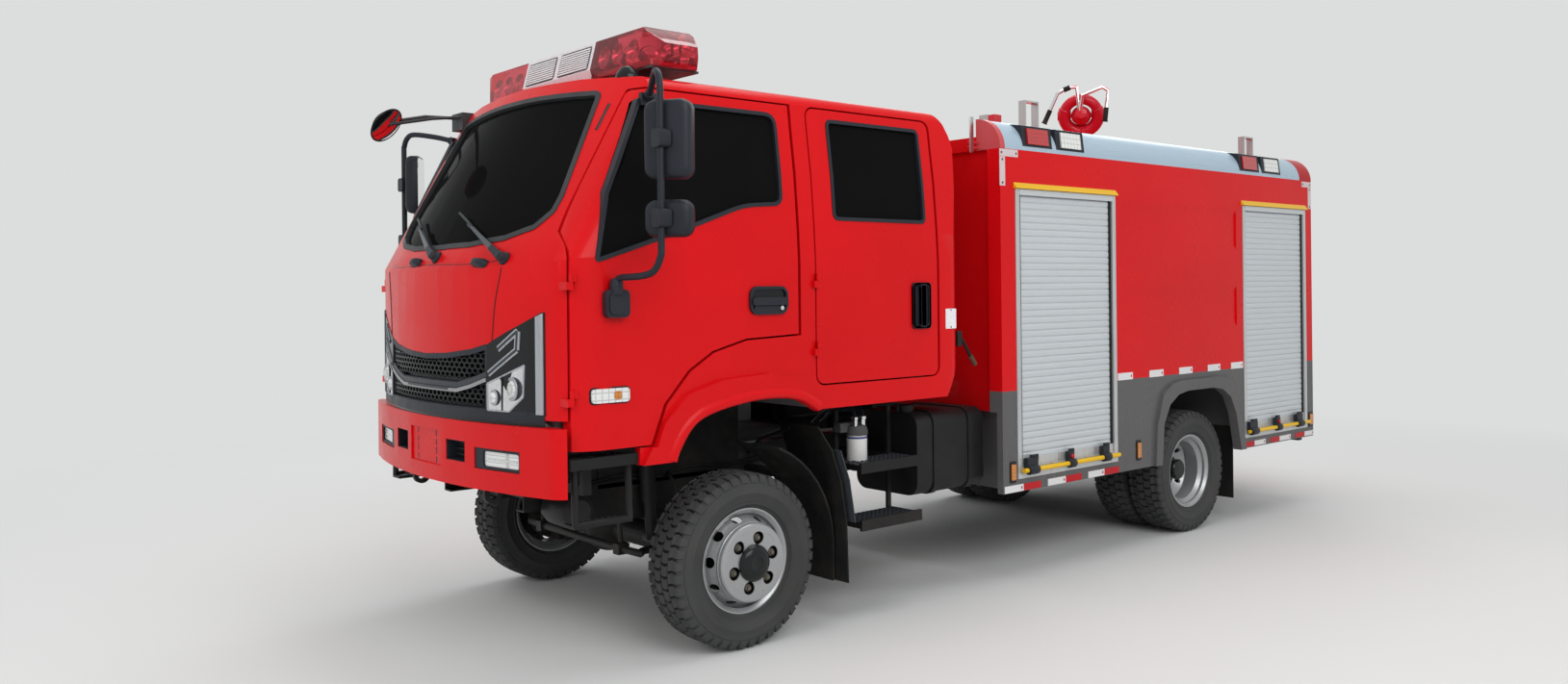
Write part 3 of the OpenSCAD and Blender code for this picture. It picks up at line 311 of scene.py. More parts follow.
wiper_grey = painted("wiper_grey", "chassis_black", (0.07, 0.08, 0.09), rough=0.35, coat=0.2)
mirror_glass = brushed("mirror_glass", "stainless", (0.8, 0.8, 0.8), 0.03, (1, 1, 1), depth=0.0)


def body_look():
    """The locker body's paint: red over a grey lower band."""
    look = Look("body_paint", "paint_red", 0.3, coat=0.1)
    look.set(**{"Specular IOR Level": PAINT_SHINE})
    over = look.math("GREATER_THAN", look.axis("Z"), GREY_TOP)
    tone = look.noise(1.3)
    look.colour(look.mix(over, look.blend(tone, *tones(GREY, 0.06)), look.blend(tone, *tones(RED, 0.05))))
    look.rough(look.noise(5.0), 0.24, 0.34)
    look.bump(look.noise(PEEL_SCALE, 2.0), PEEL_DEPTH)
    return look


def roof_look():
    """The body roof's paint: its front corner caps are a paler red, the rear ones darker with painted shade.
    """
    look = Look("roof_paint", "paint_red", 0.34, coat=0.1)
    look.set(**{"Specular IOR Level": PAINT_SHINE})
    corner = look.math("GREATER_THAN", look.math("ABSOLUTE", look.axis("Y")), CAP_Y)
    front = look.math("MULTIPLY", corner,
                      look.math("GREATER_THAN", look.axis("X"), FRONT_X + BOX_FRONT - CAP_L[0]))
    rear = look.math("MULTIPLY", corner,
                     look.math("LESS_THAN", look.axis("X"), FRONT_X + BOX_REAR + CAP_L[1]))
    tone = look.blend(look.noise(1.3), *tones(RED, 0.05))
    tone = look.mix(front, tone, PALE_RED)
    # The rear corner caps take painted shade as a darker red
    look.colour(look.mix(rear, tone, SHADED_RED))
    look.rough(look.noise(5.0), 0.28, 0.4)
    look.bump(look.noise(PEEL_SCALE, 2.0), PEEL_DEPTH)
    return look


def glass_look(name, tint, dust, clear=0.92, shine=0.5, ior=1.35):
    look = Look(name, "glass_dark", 0.03)
    look.set(IOR=ior, **{"Transmission Weight": clear, "Specular IOR Level": shine})
    look.colour(look.blend(look.noise(2.0), *tones(tint, 0.1)))
    look.rough(look.noise(6.0, 8.0), 0.02, 0.02 + dust)
    return look


body_paint = body_look()
roof_paint = roof_look()
dark_glass = glass_look("dark_glass", (0.009, 0.009, 0.0094), 0.06, 0.2, 0.03, 1.08)
red_cover = glass_look("red_cover", (0.72, 0.045, 0.075), 0.1, 0.8)

NODE_LOOKS = {
    red_paint: ["bumper", "cab_roof", "cab_sides", "cab_rear_wall", "cab_front", "body_end_walls"]
    + [f"door_{e}_{s}" for e in ("front", "rear") for s in ("left", "right")],
    body_paint: ["body_sides"],
    roof_paint: ["body_roof"],
    grey_paint: ["body_floor", "water_tank", "cab_floor"],
    chassis_paint: ["frame_rails", "front_axle", "rear_axle", "leaf_springs", "cab_steps", "knuckle_left",
                    "knuckle_right", "tie_rod"],
    casting: ["powertrain"],
    tank_plastic: ["side_boxes"],
    flap_rubber: ["mudguards"],
    black_plastic: ["lamp_bezels", "steering_wheel", "mirror_left", "mirror_right", "grille",
                    "trim_rear_left", "trim_rear_right"],
    gloss_black: ["headlamps"],
    screen_rubber: ["cab_trim"],
    moulding: ["roof_coves"],
    alu: ["shutters"],
    frame_alu: ["shutter_frames"],
    yellow_paint: ["yellow_bars"],
    white_lens: ["white_lamps"],
    red_lens: ["red_lamps"],
    steel: ["roof_rails"],
    bar_silver: ["light_bar_middle"],
    red_cover: ["light_bar"],
    dark_glass: ["cab_glass"] + [f"glass_{e}_{s}" for e in ("front", "rear") for s in ("left", "right")],
    dash_plastic: ["cab_interior"],
    rim_lacquer: ["rim_front_left", "rim_front_right", "rims_rear_left", "rims_rear_right"],
    tyre_rubber: ["tyre_front_left", "tyre_front_right", "tyres_rear_left", "tyres_rear_right"],
    cannon_paint: ["cannon_body", "cannon_barrel"],
}
for look, names in NODE_LOOKS.items():
    for name in names:
        nodes[name].data.materials.clear()
        nodes[name].data.materials.append(look.mat)


def soft_shading(limit):
    """A modifier's node group that shades curved skins smoothly and keeps edges sharper than a limit."""
    group = bpy.data.node_groups.new("soft_shading", "GeometryNodeTree")
    for way in ("INPUT", "OUTPUT"):
        group.interface.new_socket("Geometry", in_out=way, socket_type="NodeSocketGeometry")
    start, end = group.nodes.new("NodeGroupInput"), group.nodes.new("NodeGroupOutput")
    join = group.nodes.new("GeometryNodeMergeByDistance")
    join.inputs["Distance"].default_value = 1e-5
    angle = group.nodes.new("GeometryNodeInputMeshEdgeAngle")
    sharp = group.nodes.new("FunctionNodeCompare")
    sharp.operation = "GREATER_THAN"
    sharp.inputs["B"].default_value = math.radians(limit)
    normal = group.nodes.new("GeometryNodeSetMeshNormal")
    normal.inputs["Remove Custom"].default_value = True
    for a, b in ((start.outputs[0], join.inputs["Geometry"]),
                 (join.outputs["Geometry"], normal.inputs["Mesh"]),
                 (angle.outputs["Unsigned Angle"], sharp.inputs["A"]),
                 (sharp.outputs["Result"], normal.inputs["Edge Sharpness"]),
                 (normal.outputs["Mesh"], end.inputs[0])):
        group.links.new(a, b)
    return group


SOFT_SHADING = soft_shading(SHARP_DEGREES)
for node in nodes.values():
    node.modifiers.new("soft_shading", "NODES").node_group = SOFT_SHADING
    weighted = node.modifiers.new("even_shading", "WEIGHTED_NORMAL")
    weighted.keep_sharp = True

# Building pieces

BOX_FACES = [(0, 1, 3, 2), (4, 6, 7, 5), (0, 4, 5, 1), (2, 3, 7, 6), (0, 2, 6, 4), (1, 5, 7, 3)]


class Shape:
    """Vertices and faces of one piece. Each face carries the number of its look."""

    def __init__(self):
        self.verts, self.faces, self.numbers = [], [], []

    def add(self, verts, faces, number=0):
        base = len(self.verts)
        self.verts += [tuple(v) for v in verts]
        self.faces += [[base + i for i in f] for f in faces]
        self.numbers += [number] * len(faces)

    def box(self, lo, hi, number=0):
        corners = [(x, y, z) for x in (lo[0], hi[0]) for y in (lo[1], hi[1]) for z in (lo[2], hi[2])]
        self.add(corners, BOX_FACES, number)

    def loft(self, rings, number=0, caps=True):
        """Skins a row of rings that have equal numbers of points."""
        n, last = len(rings[0]), (len(rings) - 1) * len(rings[0])
        faces = [[r * n + i, r * n + (i + 1) % n, (r + 1) * n + (i + 1) % n, (r + 1) * n + i]
                 for r in range(len(rings) - 1) for i in range(n)]
        if caps:
            faces += [list(range(n))[::-1], [last + i for i in range(n)]]
        self.add([p for ring in rings for p in ring], faces, number)

    def prism(self, outline, place, near, far, number=0):
        """A plane outline drawn out between two depths; place(a, b, depth) gives a point."""
        self.loft([[place(a, b, d) for a, b in outline] for d in (near, far)], number)

    def tube(self, points, radius, number=0, sides=10):
        """A round bar along a row of points."""
        points = [Vector(p) for p in points]
        rings, side = [], None
        for i, p in enumerate(points):
            along = (points[min(i + 1, len(points) - 1)] - points[max(i - 1, 0)]).normalized()
            if side is None:
                side = along.orthogonal().normalized()
            side = (side - along * side.dot(along)).normalized()
            up = along.cross(side)
            turn = [2 * math.pi * k / sides for k in range(sides)]
            rings.append([p + (side * math.cos(t) + up * math.sin(t)) * radius for t in turn])
        self.loft(rings, number)

    def lathe(self, profile, centre, axis, number=0, steps=48, caps=True):
        """Rows of (radius, distance along the axis), turned once round."""
        axis = Vector(axis).normalized()
        side = axis.orthogonal().normalized()
        up = axis.cross(side)
        turn = [2 * math.pi * k / steps for k in range(steps)]
        rings = [[centre + axis * h + (side * math.cos(t) + up * math.sin(t)) * r for t in turn]
                 for r, h in profile]
        self.loft(rings, number, caps=caps)

    def piece(self, name, body, *looks, bevel=0.0, angle=35):
        """Makes the object. It rides on a body."""
        mesh = bpy.data.meshes.new(name)
        mesh.from_pydata(self.verts, [], self.faces)
        for look in looks:
            mesh.materials.append(look.mat)
        mesh.polygons.foreach_set("material_index", self.numbers)
        work = bmesh.new()
        work.from_mesh(mesh)
        bmesh.ops.recalc_face_normals(work, faces=work.faces)
        work.to_mesh(mesh)
        work.free()
        mesh.shade_smooth()
        mesh.set_sharp_from_angle(angle=math.radians(angle))
        made = bpy.data.objects.new(name, mesh)
        bpy.context.scene.collection.objects.link(made)
        if bevel:
            edge = made.modifiers.new("edge", "BEVEL")
            edge.width, edge.segments, edge.angle_limit = bevel, 2, math.radians(40)
            edge.harden_normals = False
        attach(made, body)
        return made


def curve(points, steps=6):
    """A smooth line through a few points."""
    points = [Vector(p) for p in points]
    ends = [2 * points[0] - points[1]] + points + [2 * points[-1] - points[-2]]
    line = []
    for a, b, c, d in zip(ends, ends[1:], ends[2:], ends[3:]):
        for i in range(steps):
            t = i / steps
            line.append(0.5 * (2 * b + (c - a) * t + (2 * a - 5 * b + 4 * c - d) * t * t
                               + (3 * b - a - 3 * c + d) * t ** 3))
    return line + [points[-1]]


def rounded(width, height, radius, steps=4):
    """Outline of a rectangle with round corners, about its middle."""
    line = []
    for i, (sx, sy) in enumerate(((1, 1), (-1, 1), (-1, -1), (1, -1))):
        for k in range(steps + 1):
            t = math.pi / 2 * (i + k / steps)
            line.append((sx * (width / 2 - radius) + radius * math.cos(t),
                         sy * (height / 2 - radius) + radius * math.sin(t)))
    return line


# Tyres

TYRE_R, TREAD_DEPTH = 0.394, 0.018
PITCHES, ROUND_STEPS = 44, 96
PITCH = 2 * math.pi / PITCHES
# The crown is flat to a distance from the middle, and bends down with the square of the rest
CROWN_FLAT, CROWN_BEND = 0.07, 22.5
# Turn of the front tread, and between the rear twins
FRONT_TURN, TWIN_TURN = 0.02, 0.03
# Tread rows: middle across the tyre, half width, share of a pitch that the row is turned by,
# way its blocks lean
TREAD_ROWS = [(-0.0775, 0.0245, 0.0, 1), (-0.0255, 0.022, 0.5, -1), (0.0255, 0.022, 0.0, -1),
              (0.0775, 0.0245, 0.5, 1)]
# Outline of a tread block: along the tyre in shares of a pitch, across in shares of the half width
TREAD_BLOCK = [(-0.45, -1), (0.35, -1), (0.47, 0), (0.35, 1), (-0.45, 1), (-0.33, 0)]
# Shoulder lugs: radius, distance from the middle, half length in pitches
SHOULDER = [(0.3905, 0.094, 0.41), (0.3855, 0.108, 0.4), (0.367, 0.1175, 0.37), (0.354, 0.118, 0.32)]
# Height of a lug, how far its foot lies inwards, and the length of its top as a share
LUG_TALL, LUG_IN, LUG_TOP = 0.014, 0.012, 0.86
# Floor of the grooves: depth under the tread's foot, distance from the middle
GROOVE_FLOOR = [(0.001, 0.0), (0.001, 0.05), (0.003, 0.088)]
# Side of the tyre from the tread's edge to the bead: radius, distance from the middle
SIDE_WALL = [(0.379, 0.098), (0.372, 0.108), (0.352, 0.1155), (0.349, 0.1155), (0.347, 0.119),
             (0.335, 0.1205), (0.312, 0.1215), (0.309, 0.1235), (0.304, 0.1235), (0.301, 0.121),
             (0.275, 0.115), (0.262, 0.1095), (0.259, 0.1115), (0.254, 0.1105), (0.251, 0.104),
             (0.238, 0.092), (0.2235, 0.087)]


def tread_block(shape, centre, start, row):
    """One bent block between the groove floor and the crown."""
    across, half, _, lean = row
    rings = []
    for radius, shrink in ((TYRE_R - TREAD_DEPTH - 0.003, 1.03), (TYRE_R - 0.003, 1.0),
                           (TYRE_R - 0.0005, 0.95)):
        ring = []
        for a, b in TREAD_BLOCK:
            angle = start + lean * a * PITCH * shrink
            y = across + b * half * shrink
            r = radius - CROWN_BEND * max(0.0, abs(y) - CROWN_FLAT) ** 2
            ring.append(centre + Vector((r * math.cos(angle), y, r * math.sin(angle))))
        rings.append(ring)
    shape.loft(rings)


def shoulder_lug(shape, centre, start, side):
    """A lug that wraps from the tread's edge down the side wall."""
    rings = []
    for radius, y, wide in SHOULDER:
        foot = radius - LUG_TALL
        ring = []
        for a, r in ((-wide, foot), (wide, foot), (wide * LUG_TOP, radius), (-wide * LUG_TOP, radius)):
            depth = y - LUG_IN if r < radius else y
            angle = start + a * PITCH
            ring.append(centre + Vector((r * math.cos(angle), side * depth, r * math.sin(angle))))
        rings.append(ring)
    shape.loft(rings)


def add_tyre(shape, centre, turn):
    floor = TYRE_R - TREAD_DEPTH
    outer = [(floor - down, across) for down, across in GROOVE_FLOOR] + SIDE_WALL
    profile = [(r, -h) for r, h in reversed(outer[1:])] + outer
    shape.lathe(profile + profile[:1], centre, (0, 1, 0), steps=ROUND_STEPS, caps=False)
    for i in range(PITCHES):
        for row in TREAD_ROWS:
            tread_block(shape, centre, (i + row[2]) * PITCH + turn, row)
        for side in (LEFT, RIGHT):
            shoulder_lug(shape, centre, (i + (0.5 if side == LEFT else 0.0)) * PITCH + turn, side)


TWIN_STEP = 0.27
for side in (LEFT, RIGHT):
    name = SIDE_NAME[side]
    shape = Shape()
    add_tyre(shape, JOINT[f"wheel_front_{name}_spin"].copy(), FRONT_TURN)
    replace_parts(shape.piece(f"front_tyre_{name}", f"wheel_front_{name}", tyre_rubber, angle=40),
                f"tyre_front_{name}")
    shape = Shape()
    for k in (-0.5, 0.5):
        add_tyre(shape, JOINT[f"wheels_rear_{name}_spin"] + Vector((0, k * TWIN_STEP, 0)), TWIN_TURN * k)
    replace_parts(shape.piece(f"rear_tyres_{name}", f"wheels_rear_{name}", tyre_rubber, angle=40),
                f"tyres_rear_{name}")

# Front rims: rows of radius and distance outwards from the wheel's middle

RIM_BARREL = [(0.236, 0.095), (0.2365, 0.091), (0.235, 0.087), (0.2225, 0.0855), (0.222, 0.066),
              (0.2, 0.04), (0.2, -0.04), (0.222, -0.066), (0.2225, -0.0855), (0.235, -0.087),
              (0.236, -0.095), (0.23, -0.095), (0.2125, -0.083), (0.211, -0.062), (0.189, -0.036),
              (0.189, 0.036), (0.211, 0.062), (0.2125, 0.083), (0.23, 0.095)]
RIM_DISC = [(0.058, 0.112), (0.058, 0.12), (0.174, 0.12), (0.174, 0.112)]
RIM_FOOT = [(0.2085, 0.056), (0.2095, 0.052), (0.2095, 0.04), (0.2045, 0.04), (0.204, 0.0535)]
RIM_HUB = [(0.036, -0.03), (0.072, -0.03), (0.072, 0.156), (0.036, 0.156)]
# Trim plate over the nuts: inner part and rolled edge on both sides of its ring of holes
PLATE_IN = [(0.06, 0.149), (0.06, 0.154), (0.0785, 0.154), (0.0785, 0.149)]
PLATE_EDGE = [(0.1435, 0.154), (0.164, 0.154), (0.171, 0.1525), (0.1755, 0.148), (0.1775, 0.142),
              (0.1765, 0.126), (0.179, 0.124), (0.1785, 0.112), (0.174, 0.112), (0.172, 0.14),
              (0.1435, 0.149)]
# Rings with round holes: inner and outer edge, number of holes, their radius, angle of the first
CONE = (Vector((0.178, 0.1125)), Vector((0.2085, 0.056)), 10, 0.0245, 0.1)
PLATE = (Vector((0.0785, 0.154)), Vector((0.1435, 0.154)), 6, 0.0295, math.radians(44))
RING_DEEP = 0.005
# Edge of the sector round a hole, in shares of its half width and half length
SECTOR = ([(1, t) for t in (-0.33, 0, 0.33)]
          + [(a, 1) for a in (1, 0.6, 0.4, 0.25, 0.12, 0, -0.12, -0.25, -0.4, -0.6, -1)]
          + [(-1, t) for t in (0.33, 0, -0.33)]
          + [(a, -1) for a in (-1, -0.6, -0.4, -0.25, -0.12, 0, 0.12, 0.25, 0.4, 0.6, 1)])


def holed_ring(shape, centre, side, near, far, holes, radius, start):
    """A ring of sheet with round holes, made of one sector a hole."""
    middle, along = (near + far) / 2, (far - near).normalized()
    inwards = Vector((along.y, -along.x)) * RING_DEEP
    half_turn, half_long = math.pi / holes, (far - near).length / 2
    half_wide = middle.x * half_turn
    edge = [(a * half_wide, b * half_long) for a, b in SECTOR]
    turns = [math.atan2(b, a) for a, b in edge]
    hole = [(radius * math.cos(t), radius * math.sin(t)) for t in turns]
    for i in range(holes):
        def spot(a, b, deep):
            row = middle + along * b + inwards * deep
            angle = start + half_turn * (2 * i + a / half_wide)
            return centre + Vector((row.x * math.cos(angle), side * row.y, row.x * math.sin(angle)))
        rows = ((edge, 0), (hole, 0), (hole, 1), (edge, 1))
        shape.loft([[spot(a, b, deep) for a, b in line] for line, deep in rows], 0, caps=False)


def front_rim(side):
    name = SIDE_NAME[side]
    centre = JOINT[f"wheel_front_{name}_spin"]
    shape = Shape()
    for profile, number in ((RIM_BARREL, 0), (PLATE_IN, 0), (PLATE_EDGE, 0), (RIM_FOOT, 0), (RIM_DISC, 1),
                            (RIM_HUB, 1)):
        shape.lathe(profile + profile[:1], centre, (0, side, 0), number, ROUND_STEPS, caps=False)
    holed_ring(shape, centre, side, *CONE)
    holed_ring(shape, centre, side, *PLATE)
    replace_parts(shape.piece(f"front_rim_{name}", f"wheel_front_{name}", rim_lacquer, chassis_paint,
                            angle=28), f"rim_front_{name}")


for side in (LEFT, RIGHT):
    front_rim(side)

# Wheel nuts and hub caps

STUD_R, STUDS = 0.111125, 6
# A nut's parts, from washer to stud: rows of radius and height over the disc, number of the look, sides
NUT = [([(0.0, -0.002), (0.0285, -0.002), (0.0285, 0.0008), (0.0, 0.0008)], 2, 24),
       ([(0.0, 0.0), (0.0222, 0.0), (0.0205, 0.006), (0.0, 0.006)], 1, 24),
       ([(0.0, 0.0), (0.0175, 0.0), (0.0175, 0.024), (0.013, 0.028), (0.0, 0.028)], 1, 6),
       ([(0.0, 0.0), (0.0095, 0.02), (0.0095, 0.036), (0.0, 0.038)], 1, 12)]
# Hub caps: radius, distance from the wheel's middle
FRONT_CAP = [(0.0825, 0.15), (0.0825, 0.163), (0.076, 0.172), (0.07, 0.178), (0.05, 0.184), (0.034, 0.186),
             (0.029, 0.1835)]
REAR_CAP = [(0.088, 0.03), (0.088, 0.078), (0.08, 0.09), (0.066, 0.094), (0.066, 0.15), (0.06, 0.158),
            (0.03, 0.16)]
# Outer face of the disc, from the wheel's middle
FRONT_FACE, REAR_FACE = 0.12, 0.023


def wheel_dress(body, centre, side, face, cap, start):
    """Nuts on a disc whose outer face lies at a distance from the wheel's middle, and the hub cap."""
    out = Vector((0, side, 0))
    shape = Shape()
    for i in range(STUDS):
        angle = start + 2 * math.pi * i / STUDS
        spot = centre + Vector((STUD_R * math.cos(angle), 0, STUD_R * math.sin(angle)))
        for rows, number, sides in NUT:
            shape.lathe([(r, face + h) for r, h in rows], spot, out, number, sides)
    shape.lathe([(0.0, cap[0][1])] + cap + [(0.0, cap[-1][1])], centre, out, 0, 40)
    return shape.piece(f"{body}_nuts", body, gloss_black, nut_steel, chassis_paint, angle=30)


for side in (LEFT, RIGHT):
    front, rear = f"wheel_front_{SIDE_NAME[side]}", f"wheels_rear_{SIDE_NAME[side]}"
    wheel_dress(front, JOINT[f"{front}_spin"], side, FRONT_FACE, FRONT_CAP, PLATE[4])
    wheel_dress(rear, JOINT[f"{rear}_spin"], side, REAR_FACE, REAR_CAP, 0.0)

# Places on the cab and the body

CHASSIS = "chassis"
BUMPER_X, BUMPER_R = 1.07, 3.2
# Half width of the cab by height
CAB_SECTION = [(1.75, 1.0), (1.9, 0.992), (2.15, 0.972), (2.36, 0.944), (2.481, 0.929)]


def between(table, a):
    """Reads a table of (place, value) rows, in straight lines from row to row."""
    for (a0, v0), (a1, v1) in zip(table, table[1:]):
        if a <= a1:
            return v0 + (v1 - v0) * max(0.0, a - a0) / (a1 - a0)
    return table[-1][1]


def on_bumper(y, z, out=0.0):
    return at(BUMPER_X - BUMPER_R + math.sqrt((BUMPER_R + out) ** 2 - y * y), y, z)


def nose_place(side):
    """Across and up on the cab's nose."""
    return lambda a, b, depth: on_nose(side * a, b, depth)


def bumper_place(side):
    return lambda a, b, depth: on_bumper(side * a, b, depth)


def flank_place(side):
    """Along X and up on the cab's side, which turns in ahead of the corner."""
    def place(a, b, depth):
        ahead = min(max(a - CORNER_X, 0.0) / CORNER_R, 1.0)
        corner = CAB_W - CORNER_R + CORNER_R * math.sqrt(1 - ahead * ahead)
        return at(a, side * (min(between(CAB_SECTION, b), corner) + depth), b)
    return place


def body_place(side):
    """Along X and up on the locker body's side."""
    return lambda a, b, depth: at(a, side * (BOX_W + depth), b)


def moved(outline, a, b):
    return [(p + a, q + b) for p, q in outline]


def fine(points, step):
    """The same line with more points, none further apart than a step."""
    line = []
    for p, q in zip(points, points[1:]):
        p, q = Vector(p), Vector(q)
        count = max(1, math.ceil((q - p).length / step))
        line += [p.lerp(q, i / count) for i in range(count)]
    return line + [Vector(points[-1])]


def strip(points, width):
    """Outline of a band of equal width along a row of points."""
    points = [Vector(p) for p in points]
    left, right = [], []
    for i, p in enumerate(points):
        along = (points[min(i + 1, len(points) - 1)] - points[max(i - 1, 0)]).normalized()
        across = Vector((-along.y, along.x)) * width / 2
        left.append(p + across)
        right.append(p - across)
    return left + right[::-1]


def band(shape, points, width, place, near, far, number=0):
    """A band laid on a curved skin, in short lengths so that it follows the skin."""
    for p, q in zip(points, points[1:]):
        shape.prism(strip([p, q], width), place, near, far, number)


def ring(shape, outer, inner, place, near, far, number=0):
    """A frame between two outlines that have equal numbers of points."""
    rows = [(outer, near), (outer, far), (inner, far), (inner, near)]
    shape.loft([[place(a, b, d) for a, b in line] for line, d in rows], number, caps=False)


def side_box(shape, side, lo, hi, number=0):
    """A box given for the left side, or its mirror image."""
    y0, y1 = sorted((side * lo[1], side * hi[1]))
    shape.box(at(lo[0], y0, lo[2]), at(hi[0], y1, hi[2]), number)


def quad(lo, hi):
    """Outline of an upright rectangle between two corners."""
    return [(lo[0], lo[1]), (hi[0], lo[1]), (hi[0], hi[1]), (lo[0], hi[1])]


# Headlamps

# Outlines on the nose: across, up
LAMP_HOOK = [(0.592, 1.376), (0.708, 1.452), (0.702, 1.374), (0.53, 1.27)]
LAMP_BOX = [(0.52, 1.118), (0.655, 1.118), (0.735, 1.18), (0.742, 1.312), (0.52, 1.23)]
LAMP_EDGE = [(0.806, 1.112), (0.842, 1.112), (0.842, 1.526), (0.806, 1.512)]
LAMP_RIB = [(0.612, 1.12), (0.612, 1.26)]
# Bowls in the lamp: across, up, radius
LAMP_BOWLS = [(0.672, 1.212, 0.05), (0.562, 1.172, 0.034)]


def headlamp(side):
    place = nose_place(side)
    shape = Shape()
    band(shape, fine(LAMP_HOOK, 0.04), 0.026, place, 0.002, 0.008)
    band(shape, fine(LAMP_HOOK, 0.04), 0.012, place, 0.007, 0.0092, 4)
    shape.prism(LAMP_BOX, place, 0.001, 0.0045, 1)
    band(shape, LAMP_BOX + LAMP_BOX[:1], 0.007, place, 0.002, 0.007, 0)
    band(shape, LAMP_RIB, 0.005, place, 0.002, 0.007, 3)
    shape.prism(LAMP_EDGE, place, 0.001, 0.008, 0)
    for y, z, r in LAMP_BOWLS:
        spot = place(y, z, 0.004)
        out = place(y, z, 0.05) - spot
        shape.lathe([(0.0, 0.0), (r, 0.0), (r, 0.004), (r * 0.86, 0.006), (r * 0.82, 0.003), (0.0, 0.001)],
                    spot, out, 0, 32)
        shape.lathe([(0.0, 0.001), (r * 0.72, 0.001), (r * 0.6, 0.009), (r * 0.3, 0.013), (0.0, 0.014)],
                    spot, out, 2, 32)
    return shape.piece(f"headlamp_{SIDE_NAME[side]}", CHASSIS, lamp_silver, chrome, white_lens, gloss_black,
                       bar_grey, bevel=0.001)


for side in (LEFT, RIGHT):
    headlamp(side)

# Grille

# Heights by distance from the middle
GRILLE_TOP = [(0.0, 1.324), (0.2, 1.332), (0.4, 1.354), (0.51, 1.378)]
BAR_TOP = [(0.0, 1.228), (0.29, 1.228), (0.4, 1.252), (0.51, 1.274)]
BAR_LOW = [(0.0, 1.184), (0.29, 1.184), (0.4, 1.207), (0.51, 1.24)]
GRILLE_LOW = [(0.0, 1.126), (0.51, 1.126)]
GRILLE_HALF = 0.49
# Places across at which the bands bend
BAR_BENDS = (-0.505, -0.4, -0.29, 0.29, 0.4, 0.505)
TOP_BENDS = (-0.505, -0.4, -0.2, 0.0, 0.2, 0.4, 0.505)
BAR_STRIP = [(-0.22, 1.195), (0.22, 1.195)]
# Joint beside a lamp: place across, low, high
LAMP_JOINT = (0.512, 1.109, 1.392)
CELL_R, CELL_HOLE, CELL_STRETCH = 0.0145, 0.76, 1.6


def honeycomb(shape, low, high):
    """Six-sided cells on the nose between two height tables."""
    place = nose_place(LEFT)
    wide, tall = math.sqrt(3) * CELL_R * CELL_STRETCH, 1.5 * CELL_R
    rows = range(math.ceil(0.3 / tall))
    columns = range(-math.ceil(GRILLE_HALF / wide), math.ceil(GRILLE_HALF / wide) + 1)
    turn = [math.pi / 6 + math.pi / 3 * k for k in range(6)]
    for row in rows:
        z = GRILLE_LOW[0][1] + row * tall
        for column in columns:
            y = (column + row % 2 / 2) * wide
            inside = between(low, abs(y)) + 0.5 * CELL_R < z < between(high, abs(y)) - 0.5 * CELL_R
            if not inside or abs(y) > GRILLE_HALF:
                continue
            outer, inner = ([(y + CELL_STRETCH * r * math.cos(t), z + r * math.sin(t)) for t in turn]
                            for r in (CELL_R, CELL_HOLE * CELL_R))
            ring(shape, outer, inner, place, -0.024, -0.0035)


def grille():
    place = nose_place(LEFT)
    shape = Shape()
    honeycomb(shape, BAR_TOP, GRILLE_TOP)
    honeycomb(shape, GRILLE_LOW, BAR_LOW)
    # The bar's silver lip and grey face, and the dark lip under the hood
    for table, bends, up, width, far, number in ((BAR_LOW, BAR_BENDS, 0.006, 0.016, 0.005, 1),
                                                 (BAR_LOW, BAR_BENDS, 0.029, 0.022, 0.001, 2),
                                                 (GRILLE_TOP, TOP_BENDS, 0.006, 0.024, 0.0015, 3)):
        line = [(y, between(table, abs(y)) + up) for y in bends]
        band(shape, fine(line, 0.05), width, place, -0.004, far, number)
    band(shape, fine(BAR_STRIP, 0.05), 0.012, place, 0.003, 0.0065, 2)
    y, low, high = LAMP_JOINT
    for side in (RIGHT, LEFT):
        band(shape, fine([(side * y, low), (side * y, high)], 0.05), 0.012, place, -0.002, 0.0025, 3)
    return shape.piece("grille_net", CHASSIS, gloss_black, grille_silver, bar_grey, black_plastic,
                       bevel=0.0008)


grille()

# Wipers, washer jets, seams of the hood, and painted shade along the crease under the glass

# Ends of a wiper on the screen: across and along the glass
WIPERS = [((0.052, 1.052), (-0.5, 1.3)), ((0.605, 1.064), (0.085, 1.275))]
# Foot of a wiper: radius, height
WIPER_FOOT = [(0.0, -0.004), (0.03, -0.004), (0.03, 0.008), (0.022, 0.014), (0.02, 0.034), (0.012, 0.04),
              (0.0, 0.041)]
# Washer jets: places across, place along the glass, and rows of height, half width, half length
JETS_Y, JETS_UP = (-0.153, 0.457), 1.03
JET_ROWS = [(0.0, 0.052, 0.02), (0.012, 0.05, 0.019), (0.026, 0.034, 0.014), (0.032, 0.016, 0.008)]


def sweep_box(shape, a, b, out, wide, tall, number):
    """A tapered bar laid between two points of the screen: widths and heights at both ends."""
    a, b = Vector(a), Vector(b)
    across = Vector((-(b - a).y, (b - a).x)).normalized()
    rings = []
    for p, w, h in ((a, wide[0], tall[0]), (b, wide[1], tall[1])):
        corners = [(p + across * w / 2, 0), (p - across * w / 2, 0), (p - across * w / 2, h),
                   (p + across * w / 2, h)]
        rings.append([on_screen(q.x, q.y, out + up) for q, up in corners])
    shape.loft(rings, number)


